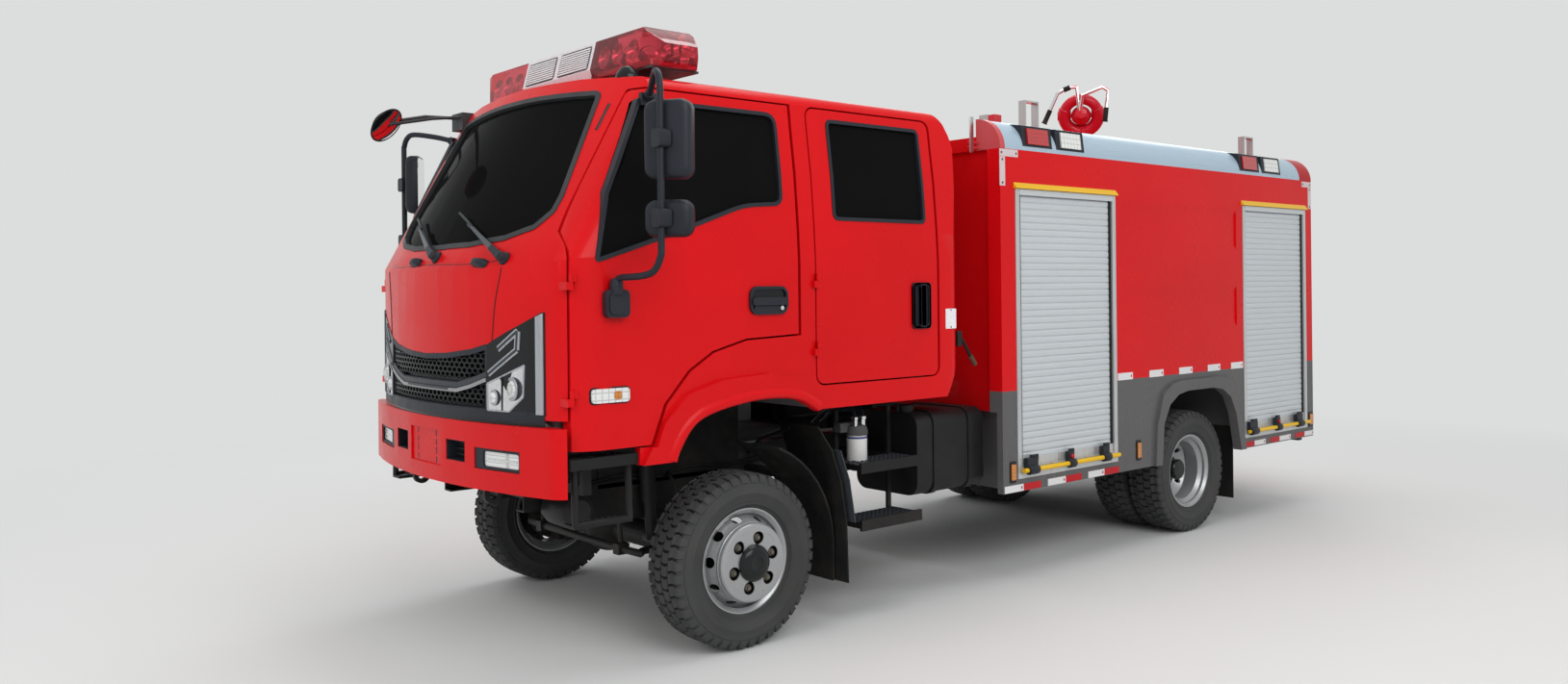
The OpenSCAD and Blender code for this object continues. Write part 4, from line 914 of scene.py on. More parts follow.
def wipers():
    shape = Shape()
    normal = Vector((math.cos(SCREEN_TILT), 0, math.sin(SCREEN_TILT)))
    for base, tip in WIPERS:
        base, tip = Vector(base), Vector(tip)
        foot = on_screen(base.x, base.y, 0.0)
        shape.lathe(WIPER_FOOT, foot, normal, 0, 24)
        knee = base.lerp(tip, 0.16)
        sweep_box(shape, base, knee, 0.02, (0.034, 0.026), (0.018, 0.016), 0)
        sweep_box(shape, knee, base.lerp(tip, 0.66), 0.022, (0.024, 0.01), (0.014, 0.008), 1)
        start = base.lerp(tip, 0.3)
        sweep_box(shape, start, tip, 0.004, (0.007, 0.007), (0.017, 0.017), 0)
        sweep_box(shape, base.lerp(tip, 0.62), base.lerp(tip, 0.7), 0.016, (0.02, 0.016), (0.014, 0.014), 0)
    for y in JETS_Y:
        shape.loft([[on_screen(y + a, JETS_UP + b, up) for a, b in rounded(2 * w, 2 * h, h * 0.9)]
                    for up, w, h in JET_ROWS], 0)
    shape.piece("wipers", CHASSIS, black_plastic, wiper_grey, bevel=0.001)


# Side seam of the hood: across, up
HOOD_SEAM = [(0.61, 1.718), (0.567, 1.565), (0.545, 1.402)]
# Painted shade along the crease under the glass, drawn as a dark line: height in the middle, rise at the ends
CREASE_SHADE_UP, CREASE_SHADE_RISE = 1.016, 0.045
# Short dark bars beside the screen's upper corners: across, along the glass
SCREEN_BAR_Y, SCREEN_BAR_UP = 0.769, (1.713, 1.78, 1.847)


def seams_and_crease_shade():
    shape = Shape()
    for side in (LEFT, RIGHT):
        line = curve([(y, z, 0) for y, z in HOOD_SEAM])
        shape.tube([on_nose(side * p.x, p.y, 0.0) for p in line], 0.0022, sides=6)
        shape.tube([on_screen(side * SCREEN_BAR_Y, up, -0.002) for up in SCREEN_BAR_UP], 0.008, 0)
    # A dark line of painted shade along the crease under the glass
    line = [on_screen(0.1 * i, CREASE_SHADE_UP + CREASE_SHADE_RISE * (i / 6) ** 4, 0.0) for i in range(-6, 7)]
    shape.tube(line, 0.002, sides=6)
    shape.piece("seams_and_crease_shade", CHASSIS, gloss_black)


wipers()
seams_and_crease_shade()

# Bumper

# Slots for the plate, and corners of the air holes and fog lamps: across, up
SLOT_Y, SLOTS_Z = 0.1, (0.87, 0.91, 0.95, 0.99)
AIR_HOLE = ((0.21, 0.885), (0.37, 0.975))
FOG = ((0.44, 0.868), (0.744, 0.958))
AIR_BARS_Z = (0.905, 0.93, 0.955)
# Painted shade under the lamps, as black bands between the bumper and the grille: half width, and bands of
# height, width, number of the look
SHADE_HALF, SHADE_BANDS = 0.845, [(1.052, 0.044, 0), (1.098, 0.046, 1)]


def bumper_parts():
    shape = Shape()
    for side in (LEFT, RIGHT):
        place = bumper_place(side)
        for z in SLOTS_Z:
            shape.prism(quad((SLOT_Y - 0.004, z - 0.014), (SLOT_Y + 0.004, z + 0.014)), place, -0.014,
                        -0.0095, 0)
        # Each air hole is closed at the back and lined with black as painted shade inside the hole
        shape.prism(quad(*AIR_HOLE), place, -0.06, -0.052, 0)
        (y0, z0), (y1, z1) = AIR_HOLE
        ring(shape, quad((y0 + 0.0005, z0 + 0.0005), (y1 - 0.0005, z1 - 0.0005)),
             quad((y0 + 0.003, z0 + 0.003), (y1 - 0.003, z1 - 0.003)), place, -0.058, -0.004, 1)
        for z in AIR_BARS_Z:
            shape.prism(quad((0.212, z - 0.003), (0.368, z + 0.003)), place, -0.052, -0.046, 1)
        (y0, z0), (y1, z1) = FOG
        middle, size = ((y0 + y1) / 2, (z0 + z1) / 2), (y1 - y0, z1 - z0)
        outer = moved(rounded(size[0] - 0.001, size[1] - 0.001, 0.01), *middle)
        inner = moved(rounded(size[0] - 0.07, size[1] - 0.024, 0.012), middle[0] + 0.022, middle[1])
        ring(shape, outer, inner, place, -0.024, -0.006, 1)
        shape.prism(moved(rounded(size[0] - 0.075, size[1] - 0.028, 0.01), middle[0] + 0.022, middle[1]),
                    place, -0.026, -0.014, 2)
        shape.prism(quad((y0 + 0.07, middle[1] - 0.004), (y1 - 0.03, middle[1] + 0.004)), place, -0.014,
                    -0.0115, 3)
    # Black bands of painted shade between the bumper and the grille
    for z, wide, number in SHADE_BANDS:
        line = fine([(-SHADE_HALF, z), (SHADE_HALF, z)], 0.06)
        band(shape, line, wide, nose_place(LEFT), -0.001, 0.003, number)
    shape.piece("bumper_parts", CHASSIS, gloss_black, black_plastic, white_lens, chrome)


bumper_parts()

# Windows, lamps, handles and mirrors of the doors, and the lips of the front wheel arches

INDICATOR = (0.7065, 1.188)
REAR_HANDLE = (-1.115, 1.5225)
# Front window: corners, and the radius of each
FRONT_PANE = [(0.775, 1.725), (0.713, 2.02), (0.52, 2.432), (-0.225, 2.432), (-0.225, 2.0), (0.0, 1.983),
              (0.36, 1.857)]
PANE_RADII = [0.02, 0.1, 0.02, 0.07, 0.055, 0.5, 0.3]
PANE_RIM, RIM_DEEP, RIM_OUT = 0.018, -0.035, 0.004
# Corners at the rear by their number, and steps round a corner
REAR_CORNERS, CORNER_STEPS = (3, 4), 5
# Front handle: middle, size, corner radius, width of its rim
FRONT_HANDLE, HANDLE_W, HANDLE_H, HANDLE_R, HANDLE_RIM = (-0.12, 1.564), 0.22, 0.128, 0.042, 0.013
# Foot of the mirror's pipe, and the pad at its upper end
MIRROR_FOOT, PIPE_PAD = (0.685, 1.5625), ((0.44, 2.398), (0.515, 2.452))
# Mirror heads: middle height, height, depth
MIRROR_HEADS = [(2.215, 0.32, 0.07), (1.9, 0.15, 0.066)]
MIRROR_Y, MIRROR_FRONT, MIRROR_W = 1.285, 0.62, 0.2
PIPE_R, PIPE_END_R = 0.0142, 0.021
# Front of a head's shell: distance behind the front, and how much narrower it is on each side
SHELL = [(0.0, 0.036), (0.0015, 0.024), (0.006, 0.012), (0.016, 0.004), (0.03, 0.0)]
# The heads turn to the driver about an upright line
MIRROR_TURN, MIRROR_PIVOT = math.radians(33), 0.617
# Sleeve round the pipe's lower end: radius, height
PIPE_SLEEVE = [(0.0, 1.598), (0.026, 1.598), (0.0275, 1.604), (0.0275, 1.648), (0.022, 1.664), (0.0, 1.669)]
# Middle line of the mirror's pipe
MIRROR_PIPE = [(0.69, 1.028, 1.65), (0.688, 1.06, 1.668), (0.674, 1.18, 1.672), (0.656, 1.25, 1.69),
               (0.643, 1.281, 1.745), (0.64, 1.285, 1.83), (0.64, 1.285, 2.36), (0.639, 1.281, 2.43),
               (0.63, 1.256, 2.476), (0.61, 1.205, 2.49), (0.54, 1.075, 2.467), (0.478, 0.953, 2.433)]


def softened(points, radii, steps=CORNER_STEPS):
    """An outline with its corners rounded off, each by its own radius."""
    points = [Vector(p) for p in points]
    line = []
    for before, p, after, radius in zip(points[-1:] + points[:-1], points, points[1:] + points[:1], radii):
        arms = (before - p, after - p)
        cut = radius / math.tan(arms[0].angle(arms[1]) / 2)
        start, end = (p + v.normalized() * min(cut, 0.45 * v.length) for v in arms)
        line += [start.lerp(p, t).lerp(p.lerp(end, t), t) for t in (i / steps for i in range(steps + 1))]
    return line


def inset(outline, wide):
    """An outline moved inwards."""
    points = [Vector(p) for p in outline]
    turn = math.copysign(wide, sum(p.cross(q) for p, q in zip(points, points[1:] + points[:1])))
    line = []
    for before, p, after in zip(points[-1:] + points[:-1], points, points[1:] + points[:1]):
        along = (after - before).normalized()
        line.append(p + Vector((-along.y, along.x)) * turn)
    return line


def door_fittings(side):
    """Window rim, handle and mirror foot of a front door."""
    place = flank_place(side)
    shape = Shape()
    pane = softened(FRONT_PANE, PANE_RADII)
    pane = fine(pane + pane[:1], 0.06)[:-1]
    ring(shape, pane, inset(pane, PANE_RIM), place, RIM_DEEP, RIM_OUT)
    x, z = FRONT_HANDLE
    outer, inner = (moved(rounded(HANDLE_W - 2 * cut, HANDLE_H - 2 * cut, HANDLE_R - cut, 6), x, z)
                    for cut in (0.0, HANDLE_RIM))
    ring(shape, outer, inner, place, -0.002, 0.013)
    shape.prism(inner, place, -0.002, 0.003, 1)
    shape.prism(moved(rounded(0.205, 0.036, 0.016, 5), x, z - 0.004), place, 0.008, 0.024)
    shape.prism(moved(rounded(0.15, 0.028, 0.012, 5), x + 0.012, z - 0.039), place, 0.003, 0.012)
    lock = place(x - 0.073, z - 0.036, 0.012)
    shape.lathe([(0.0, 0.0), (0.011, 0.0), (0.01, 0.003), (0.0, 0.003)], lock, (0, side, 0), 2, 16)
    shape.prism(quad(*PIPE_PAD), place, 0.0005, 0.024)
    shape.prism(moved(rounded(0.11, 0.115, 0.024, 5), *MIRROR_FOOT), place, 0.0005, 0.036)
    shape.prism(moved(rounded(0.084, 0.089, 0.02, 5), *MIRROR_FOOT), place, 0.034, 0.042)
    name = SIDE_NAME[side]
    made = shape.piece(f"door_fittings_{name}", f"door_front_{name}", black_plastic, gloss_black, chrome,
                       bevel=0.0015)
    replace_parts(made, f"mirror_{name}")


def window_corners(side):
    """Red webs that round the front window's rear corners."""
    place = flank_place(side)
    shape = Shape()
    line = softened(FRONT_PANE, PANE_RADII)
    points = CORNER_STEPS + 1
    for number in REAR_CORNERS:
        corner = Vector(FRONT_PANE[number])
        arc = line[points * number:points * (number + 1)]
        out = (corner - arc[2].lerp(arc[3], 0.5)).normalized() * 0.006
        shape.prism([corner + out, arc[0] + out] + arc + [arc[-1] + out], place, -0.012, 0.0012)
    name = SIDE_NAME[side]
    shape.piece(f"window_corners_{name}", f"door_front_{name}", red_paint)


# Lower edge of the front wheel arch, and the lip's section: out of the arch, distance from the middle
ARCH_LINE = [(0.414, 0.889), (0.389, 0.947), (0.314, 1.043), (0.186, 1.095), (-0.055, 1.129),
             (-0.269, 1.114), (-0.398, 1.05)]
ARCH_LIP = [(-0.011, 0.99), (-0.0115, 1.024), (-0.009, 1.033), (-0.002, 1.0385), (0.009, 1.04),
            (0.022, 1.037), (0.036, 1.029), (0.01, 1.0)]


def arch_lip(side):
    """Rounded lip along the front wheel arch."""
    shape = Shape()
    line = curve(ARCH_LINE, 8)
    rings = []
    for i, p in enumerate(line):
        along = (line[min(i + 1, len(line) - 1)] - line[max(i - 1, 0)]).normalized()
        out = Vector((along.y, -along.x))
        rings.append([at(p.x + out.x * a, side * y, p.y + out.y * a) for a, y in ARCH_LIP])
    shape.loft(rings)
    shape.piece(f"arch_lip_{SIDE_NAME[side]}", CHASSIS, red_paint, angle=50)


def mirror(side):
    """Both mirrors of a front door on their pipe."""
    def turned(x, a, z):
        ahead = x - MIRROR_PIVOT
        c, s = math.cos(MIRROR_TURN), math.sin(MIRROR_TURN)
        return at(MIRROR_PIVOT + ahead * c - a * s, side * (MIRROR_Y + a * c + ahead * s), z)

    shape = Shape()
    line = [at(x, side * y, z) for x, y, z in MIRROR_PIPE]
    shape.tube(curve(line, 5), PIPE_R, 0, 16)
    x, y, _ = MIRROR_PIPE[0]
    shape.lathe(PIPE_SLEEVE, at(x, side * y, 0), (0, 0, 1), 0, 24)
    shape.tube([line[-1].lerp(line[-2], k) for k in (-0.08, 0.34)], PIPE_END_R, 0, 16)
    for z, tall, deep in MIRROR_HEADS:
        back = MIRROR_FRONT - deep
        rows = [(MIRROR_FRONT - d, cut) for d, cut in SHELL]
        rows += [(back + 0.005, 0.0), (back, 0.004), (back, 0.012)]
        shape.loft([[turned(x, a, z + b)
                     for a, b in rounded(MIRROR_W - 2 * cut, tall - 2 * cut, 0.045 - 0.6 * cut, 6)]
                    for x, cut in rows])
        shape.prism(rounded(0.18, tall - 0.024, 0.03, 6),
                    lambda a, b, depth: turned(back - depth, a, z + b), -0.001, 0.003, 1)
        shape.prism(rounded(0.062, 0.074, 0.016, 5),
                    lambda a, b, depth: at(depth, side * (MIRROR_Y + a), z + b), 0.61, 0.665)
    name = SIDE_NAME[side]
    made = shape.piece(f"door_mirror_{name}", f"door_front_{name}", black_plastic, mirror_glass,
                       bevel=0.001, angle=40)
    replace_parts(made, f"mirror_{name}")


ROUND_MIRROR, ROUND_MIRROR_AXIS = (0.935, -0.775, 2.47), (-0.4096, 0.7094, -0.5736)
# Its glass: radius, distance along the axis
ROUND_GLASS = [(0.0, 0.003), (0.088, 0.003), (0.088, 0.0052), (0.07, 0.009), (0.04, 0.0118), (0.0, 0.0128)]


def round_mirror():
    """Glass of the round mirror ahead of the right roof corner."""
    shape = Shape()
    shape.lathe(ROUND_GLASS, at(*ROUND_MIRROR), ROUND_MIRROR_AXIS, 0, 40)
    shape.piece("round_mirror", CHASSIS, mirror_glass)


def front_door_parts(side):
    place = flank_place(side)
    shape = Shape()
    shape.prism(moved(rounded(0.184, 0.07, 0.018), *INDICATOR), place, -0.003, 0.004, 0)
    shape.prism(moved(rounded(0.172, 0.058, 0.014), *INDICATOR), place, 0.0, 0.012, 1)
    shape.prism(moved(rounded(0.034, 0.034, 0.008), INDICATOR[0] - 0.03, INDICATOR[1]), place, 0.011,
                0.0128, 2)
    name = SIDE_NAME[side]
    shape.piece(f"front_door_parts_{name}", f"door_front_{name}", gloss_black, white_lens, amber_lens,
                bevel=0.001)


def rear_door_parts(side):
    place = flank_place(side)
    shape = Shape()
    outer = moved(rounded(0.13, 0.235, 0.024), *REAR_HANDLE)
    inner = moved(rounded(0.098, 0.203, 0.016), *REAR_HANDLE)
    ring(shape, outer, inner, place, -0.002, 0.014)
    shape.prism(inner, place, -0.002, 0.003, 1)
    shape.prism(moved(rounded(0.036, 0.212, 0.012), *REAR_HANDLE), place, 0.006, 0.026)
    name = SIDE_NAME[side]
    shape.piece(f"rear_door_parts_{name}", f"door_rear_{name}", black_plastic, gloss_black, bevel=0.0015)


for side in (LEFT, RIGHT):
    door_fittings(side)
    window_corners(side)
    arch_lip(side)
    mirror(side)
    front_door_parts(side)
    rear_door_parts(side)
round_mirror()

# Steps, filter and small parts round the cab

# Treads: inner rear and outer front corner, height; and the nosing outside the upper front one
STEPS = [((-1.1, 0.8), (-0.7, 0.98), 0.47), ((-1.1, 0.8), (-0.7, 0.98), 0.75),
         ((0.6, 0.865), (0.83, 0.93), 0.663), ((0.59, 0.82), (0.85, 0.96), 0.93)]
STEP_NOSING = ((0.53, 0.955, 0.893), (0.88, 0.985, 0.938))
TOOTH_PITCH = 0.03


def tread_teeth(shape, lo, hi, z):
    """Rows of short teeth on a step."""
    for i in range(int((hi[0] - lo[0]) / TOOTH_PITCH)):
        for k in range(int((hi[1] - lo[1]) / TOOTH_PITCH)):
            x, y = lo[0] + (i + 0.5) * TOOTH_PITCH, lo[1] + (k + 0.5) * TOOTH_PITCH
            shape.box(at(x - 0.004, y - 0.01, z - 0.001), at(x + 0.004, y + 0.01, z + 0.005))


def step_parts(side):
    shape = Shape()
    for (x0, y0), (x1, y1), z in STEPS:
        side_box(shape, side, (x0, y0, z - 0.0005), (x1, y1, z + 0.0012))
        low, high = sorted((side * y0, side * y1))
        tread_teeth(shape, (x0, low), (x1, high), z)
    side_box(shape, side, *STEP_NOSING, 1)
    shape.piece(f"step_teeth_{SIDE_NAME[side]}", CHASSIS, bar_grey, chassis_paint)


# Fuel filter's cup, band, head and the unions on it: radius, height
FILTER_CUP = [(0.0, 0.7), (0.03, 0.7), (0.036, 0.706), (0.036, 0.735), (0.05, 0.74), (0.052, 0.76),
              (0.052, 0.872), (0.046, 0.88), (0.0, 0.88)]
FILTER_BAND = [(0.0, 0.862), (0.0525, 0.862), (0.0525, 0.872), (0.0, 0.872)]
FILTER_HEAD = [(0.0, 0.88), (0.056, 0.88), (0.056, 0.9), (0.048, 0.925), (0.0, 0.93)]
FILTER_UNION = [(0.0, 0.92), (0.012, 0.92), (0.012, 0.955), (0.016, 0.957), (0.016, 0.97), (0.0, 0.97)]
FILTER_AT, UNIONS_AT = (-0.8, 0.85), [(-0.77, 0.87), (-0.83, 0.865)]


def fuel_filter():
    shape = Shape()
    up = (0, 0, 1)
    for rows, number, steps in ((FILTER_CUP, 0, 32), (FILTER_BAND, 2, 32), (FILTER_HEAD, 1, 24)):
        shape.lathe(rows, at(*FILTER_AT, 0.0), up, number, steps)
    shape.box(at(-0.835, 0.79, 0.895), at(-0.7, 0.84, 0.94), 1)
    for x, y in UNIONS_AT:
        shape.lathe(FILTER_UNION, at(x, y, 0), up, 3, 12)
        shape.tube(curve([at(x, y, 0.965), at(x - 0.02, y - 0.05, 1.0), at(x - 0.05, 0.6, 0.98),
                          at(x - 0.1, 0.43, 0.9)]), 0.009, 4)
    shape.piece("fuel_filter", CHASSIS, white_paint, casting, trim_blue, chrome, black_plastic, angle=30)


def tilt_lever():
    shape = Shape()
    shape.box(at(-1.46, 0.92, 1.3), at(-1.425, 0.97, 1.38), 0)
    shape.tube([at(-1.44, 0.95, 1.36), at(-1.49, 0.95, 1.325), at(-1.56, 0.95, 1.225)], 0.009, 0)
    shape.tube([at(-1.545, 0.95, 1.246), at(-1.585, 0.95, 1.195)], 0.014, 1)
    shape.piece("tilt_lever", CHASSIS, chassis_paint, grip_brown, bevel=0.001)


# Dome on the cab's roof: radius, height
DOME_AT = (0.442, 0.735)
DOME = [(0.0, 2.545), (0.056, 2.545), (0.056, 2.556), (0.051, 2.568), (0.04, 2.588), (0.024, 2.6),
        (0.0, 2.605)]


def roof_dome():
    shape = Shape()
    shape.lathe(DOME, at(*DOME_AT, 0.0), (0, 0, 1), 0, 32)
    shape.piece("roof_dome", CHASSIS, gloss_black)


for side in (LEFT, RIGHT):
    step_parts(side)
fuel_filter()
tilt_lever()
roof_dome()

# Tapes, markers and clamps on the locker body

TAPE_Z, REAR_TAPE_Z = (0.492, 0.53), (0.497, 0.531)
# Tapes: front end, length of the white piece, length of the red piece; behind the wheel the red piece leads
FRONT_TAPES = [(-1.699, 0.163, 0.153), (-2.072, 0.166, 0.15), (-2.449, 0.161, 0.149)]
REAR_TAPES = [(-4.218, 0.156, 0.137), (-4.575, 0.165, 0.129), (-4.93, 0.14, 0.143)]
REFLECTORS, REFLECTOR_L, REFLECTOR_Z = (-2.753, -3.087, -3.421, -3.762, -4.055), 0.158, (1.042, 1.085)
# Amber markers: front end, rear end, low, high
MARKERS = [(-1.743, -1.795, 0.544, 0.661), (-2.935, -2.986, 0.543, 0.666), (-5.136, -5.2, 0.561, 0.667)]
# Clamps on the lift bars: middle, length, and 1 for the red button
CLAMPS = [(-1.905, 0.13, 0), (-2.253, 0.085, 1), (-2.587, 0.1, 0), (-4.295, 0.14, 0), (-4.633, 0.09, 1),
          (-4.947, 0.12, 0)]
BAR_OUT, BAR_Z = 0.03, 0.605
# A clamp's tube: radius, share of its length; and its button: radius, height
CLAMP_TUBE = [(0.0, -0.32), (0.024, -0.32), (0.026, -0.28), (0.026, 0.28), (0.024, 0.32), (0.0, 0.32)]
BUTTON = [(0.0, 0.0), (0.013, 0.0), (0.013, 0.008), (0.008, 0.012), (0.0, 0.012)]
# Corner tapes: front end, rear end, low, high
CORNERS = [(-1.685, -1.839, 2.322, 2.362), (-1.685, -1.73, 2.162, 2.32), (-5.07, -5.206, 2.318, 2.358),
           (-5.163, -5.206, 2.162, 2.316)]


def tape(shape, x, length, heights, number, place, dot):
    shape.prism(quad((x - length + 0.002, heights[0]), (x - 0.002, heights[1])), place, -0.0005, 0.0015,
                number)
    if dot:
        spot = (x - length + 0.018, (heights[0] + heights[1]) / 2)
        shape.prism(moved(rounded(0.012, 0.014, 0.004), *spot), place, 0.0012, 0.002, 1)


def body_tapes(side):
    place = body_place(side)
    shape = Shape()
    for x, white, red in FRONT_TAPES:
        tape(shape, x, white, TAPE_Z, 0, place, True)
        tape(shape, x - white, red, TAPE_Z, 1, place, False)
    for x, white, red in REAR_TAPES:
        tape(shape, x, red, REAR_TAPE_Z, 1, place, False)
        tape(shape, x - red, white, REAR_TAPE_Z, 0, place, True)
    for x in REFLECTORS:
        tape(shape, x, REFLECTOR_L, REFLECTOR_Z, 0, place, True)
    for front, rear, low, high in CORNERS:
        shape.prism(quad((rear, low), (front, high)), place, -0.0005, 0.0016, 2)
        upright = high - low > front - rear
        for k in (0.1, 0.9):
            if upright:
                spot = ((front + rear) / 2, low + k * (high - low))
            else:
                spot = (rear + k * (front - rear), (low + high) / 2)
            shape.prism(moved(rounded(0.012, 0.012, 0.0055), *spot), place, 0.001, 0.0035, 3)
    shape.piece(f"body_tapes_{SIDE_NAME[side]}", CHASSIS, tape_white, tape_red, corner_tape, casting)


def body_fittings(side):
    place = body_place(side)
    shape = Shape()
    for front, rear, low, high in MARKERS:
        middle = ((front + rear) / 2, (low + high) / 2)
        shape.prism(moved(rounded(front - rear, high - low, 0.01), *middle), place, -0.0005, 0.006, 0)
        shape.prism(moved(rounded(front - rear - 0.014, high - low - 0.03, 0.008), *middle), place, 0.005,
                    0.012, 1)
    for middle, length, button in CLAMPS:
        x0, x1 = middle - length / 2, middle + length / 2
        shape.prism(quad((x0 + 0.02, BAR_Z + 0.01), (x1 - 0.02, BAR_Z + 0.066)), place, 0.006, 0.034, 2)
        shape.lathe([(r, k * length) for r, k in CLAMP_TUBE], place(middle, BAR_Z, BAR_OUT), (1, 0, 0), 2, 20)
        shape.prism(quad((x0, BAR_Z + 0.045), (x0 + 0.5 * length, BAR_Z + 0.08)), place, 0.008, 0.02, 0)
        if button:
            shape.lathe(BUTTON, place(middle, BAR_Z + 0.04, 0.034), (0, side, 0), 3, 16)
    shape.piece(f"body_fittings_{SIDE_NAME[side]}", CHASSIS, gloss_black, amber_lens, black_plastic,
                tape_red, bevel=0.0015)


# Openings of the side shutters: front end, rear end
SHUTTERS = [(-1.81, -2.74), (-4.22, -5.11)]
SHUTTER_Z = (0.62, 2.116)
GUIDE_W, SEAL_W, SLAT = 0.034, 0.02, 0.0375
# Rear shutter: half width, lower end
REAR_SHUTTER = (0.586, 1.045)


def curtain(shape, ends, z0, z1, place, number=0):
    """A curtain of slats between two ends; place(a, z, out) gives a point."""
    count = round((z1 - z0) / SLAT)
    tall = (z1 - z0) / count
    face = [(-0.018, z1), (-0.018, z0)]
    for i in range(count):
        z = z0 + i * tall
        face += [(-0.0045, z + 0.0006), (-0.001, z + 0.003), (0.0, z + 0.3 * tall), (0.0, z + 0.7 * tall),
                 (-0.001, z + tall - 0.003), (-0.0045, z + tall - 0.0006)]
    shape.loft([[place(a, z, out) for out, z in face] for a in ends], number)


def shutters():
    shape = Shape()
    for side in (LEFT, RIGHT):
        def place(a, z, out):
            return at(a, side * (BOX_W - 0.01 + out), z)
        for front, rear in SHUTTERS:
            ends = (rear + GUIDE_W, front - GUIDE_W)
            curtain(shape, ends, *SHUTTER_Z, place)
            # The top slat hides the header
            shape.prism(quad((ends[0], SHUTTER_Z[1] + 0.0005), (ends[1], SHUTTER_Z[1] + 0.0335)),
                        body_place(side), 0.0, 0.0085)
    curtain(shape, (-REAR_SHUTTER[0], REAR_SHUTTER[0]), REAR_SHUTTER[1], SHUTTER_Z[1],
            lambda a, z, out: at(BOX_REAR + 0.01 - out, a, z))
    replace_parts(shape.piece("shutter_slats", CHASSIS, alu, angle=50), "shutters")


def shutter_seals(side):
    """Dark brush seals between the curtain and its guides."""
    place = body_place(side)
    shape = Shape()
    for front, rear in SHUTTERS:
        for edge, turn in ((front - GUIDE_W, -1), (rear + GUIDE_W, 1)):
            span = sorted((edge, edge + turn * SEAL_W))
            shape.prism(quad((span[0], SHUTTER_Z[0]), (span[1], SHUTTER_Z[1])), place, -0.02, -0.006, 0)
        shape.prism(quad((rear + GUIDE_W, SHUTTER_Z[0]), (front - GUIDE_W, SHUTTER_Z[0] + 0.05)), place,
                    -0.012, -0.003, 1)
    shape.piece(f"shutter_seals_{SIDE_NAME[side]}", CHASSIS, flap_rubber, frame_alu)


for side in (LEFT, RIGHT):
    body_tapes(side)
    body_fittings(side)
    shutter_seals(side)
shutters()

# Light bar

# Front and rear face: height, X
BAR_FRONT = [(2.605, 0.385), (2.65, 0.4), (2.785, 0.365)]
BAR_REAR = [(2.605, 0.095), (2.65, 0.08), (2.785, 0.115)]
BAR_MIDDLE = 0.335
# Louvres: middle of a panel across and up, number, lowest, step, half width
PANEL_Y, PANEL_Z = 0.165, 2.712
LOUVRES, LOUVRE_Z, LOUVRE_STEP, LOUVRE_HALF = 9, 2.666, 0.0115, 0.137


def light_bar():
    shape = Shape()
    shape.box(at(0.11, -0.8, 2.597), at(0.37, 0.8, 2.607), 0)
    for table, turn in ((BAR_FRONT, 1), (BAR_REAR, -1)):
        def place(a, b, depth):
            return at(between(table, b) + turn * depth, a, b)
        for y in (-PANEL_Y, PANEL_Y):
            shape.prism(moved(rounded(0.29, 0.115, 0.012), y, PANEL_Z), place, -0.004, 0.0015, 0)
            for k in range(LOUVRES):
                z = LOUVRE_Z + LOUVRE_STEP * k
                outline = quad((y - LOUVRE_HALF, z - 0.0035), (y + LOUVRE_HALF, z + 0.0035))
                shape.prism(outline, place, 0.0, 0.004, 1)
    for y in (-BAR_MIDDLE, BAR_MIDDLE):
        shape.box(at(0.09, y - 0.006, 2.607), at(0.39, y + 0.006, 2.66), 0)
    shape.piece("light_bar_parts", CHASSIS, bar_grey, louvre_white)


# Reflectors inside the red ends: across, along X, and the way they face
BAR_BOWLS = [(0.42, 0.33, 1), (0.54, 0.33, 1), (0.66, 0.32, 1), (0.42, 0.15, -1), (0.54, 0.15, -1),
             (0.66, 0.16, -1)]
# A reflector: radius, depth
BOWL = [(0.0, 0.0), (0.02, 0.0), (0.045, 0.022), (0.048, 0.03), (0.046, 0.03), (0.018, 0.006), (0.0, 0.005)]
BOWL_Z = 2.695


def bar_reflectors():
    shape = Shape()
    for side in (LEFT, RIGHT):
        for y, x, turn in BAR_BOWLS:
            shape.lathe(BOWL, at(x, side * y, BOWL_Z), (turn, 0, 0), 0, 24)
        shape.box(at(0.12, side * 0.6 - 0.24, 2.612), at(0.36, side * 0.6 + 0.2, 2.635), 1)
    shape.piece("bar_reflectors", CHASSIS, chrome, red_lens)


light_bar()
bar_reflectors()

# Water cannon

CANNON_TURN, RING_TILT = math.radians(36), math.radians(25)
CORE_R, RING_R, RING_THICK = 0.072, 0.122, 0.046
CANNON = JOINT["cannon_elevation"]
HANDLE_TUBE, GRIP_R, GRIP_END_R = 0.0128, 0.0175, 0.021
# Sleeve on the second handle: its ends and radius
SLEEVE, SLEEVE_R = ((0.15, -0.075, 0.183), (0.15, -0.12, 0.166)), 0.0185
# Tail of the barrel behind the ball: radius, distance along it
BARREL_TAIL = [(0.041, 0.06), (0.041, 0.1215), (0.034, 0.124), (0.0, 0.1245)]
# Handle lines, counted from the trunnion in the cannon's own directions
HANDLES = [[(0.112, 0.0, 0.02), (0.15, 0.01, 0.12), (0.155, 0.15, 0.175), (0.152, 0.19, 0.15),
            (0.14, 0.168, -0.06)],
           [(0.112, -0.012, 0.02), (0.15, -0.03, 0.185), (0.15, -0.095, 0.18), (0.15, -0.165, 0.14),
            (0.15, -0.255, -0.06)]]


def on_cannon(p):
    return CANNON + Matrix.Rotation(CANNON_TURN, 3, "Z") @ Vector(p)


def cannon_parts():
    shape = Shape()
    for line in HANDLES:
        points = [Vector(p) for p in line]
        shape.tube([on_cannon(p) for p in points], HANDLE_TUBE, 0, 12)
        low = points[-1].lerp(points[-2], 0.42)
        shape.tube([on_cannon(p) for p in (points[-1].lerp(points[-2], -0.03), low)], GRIP_R, 1, 16)
        shape.tube([on_cannon(points[-1].lerp(points[-2], k)) for k in (-0.05, -0.02)], GRIP_END_R, 1, 16)
    shape.tube([on_cannon(p) for p in SLEEVE], SLEEVE_R, 1, 16)
    shape.piece("cannon_handles", "cannon_barrel", chrome, flap_rubber, angle=40)


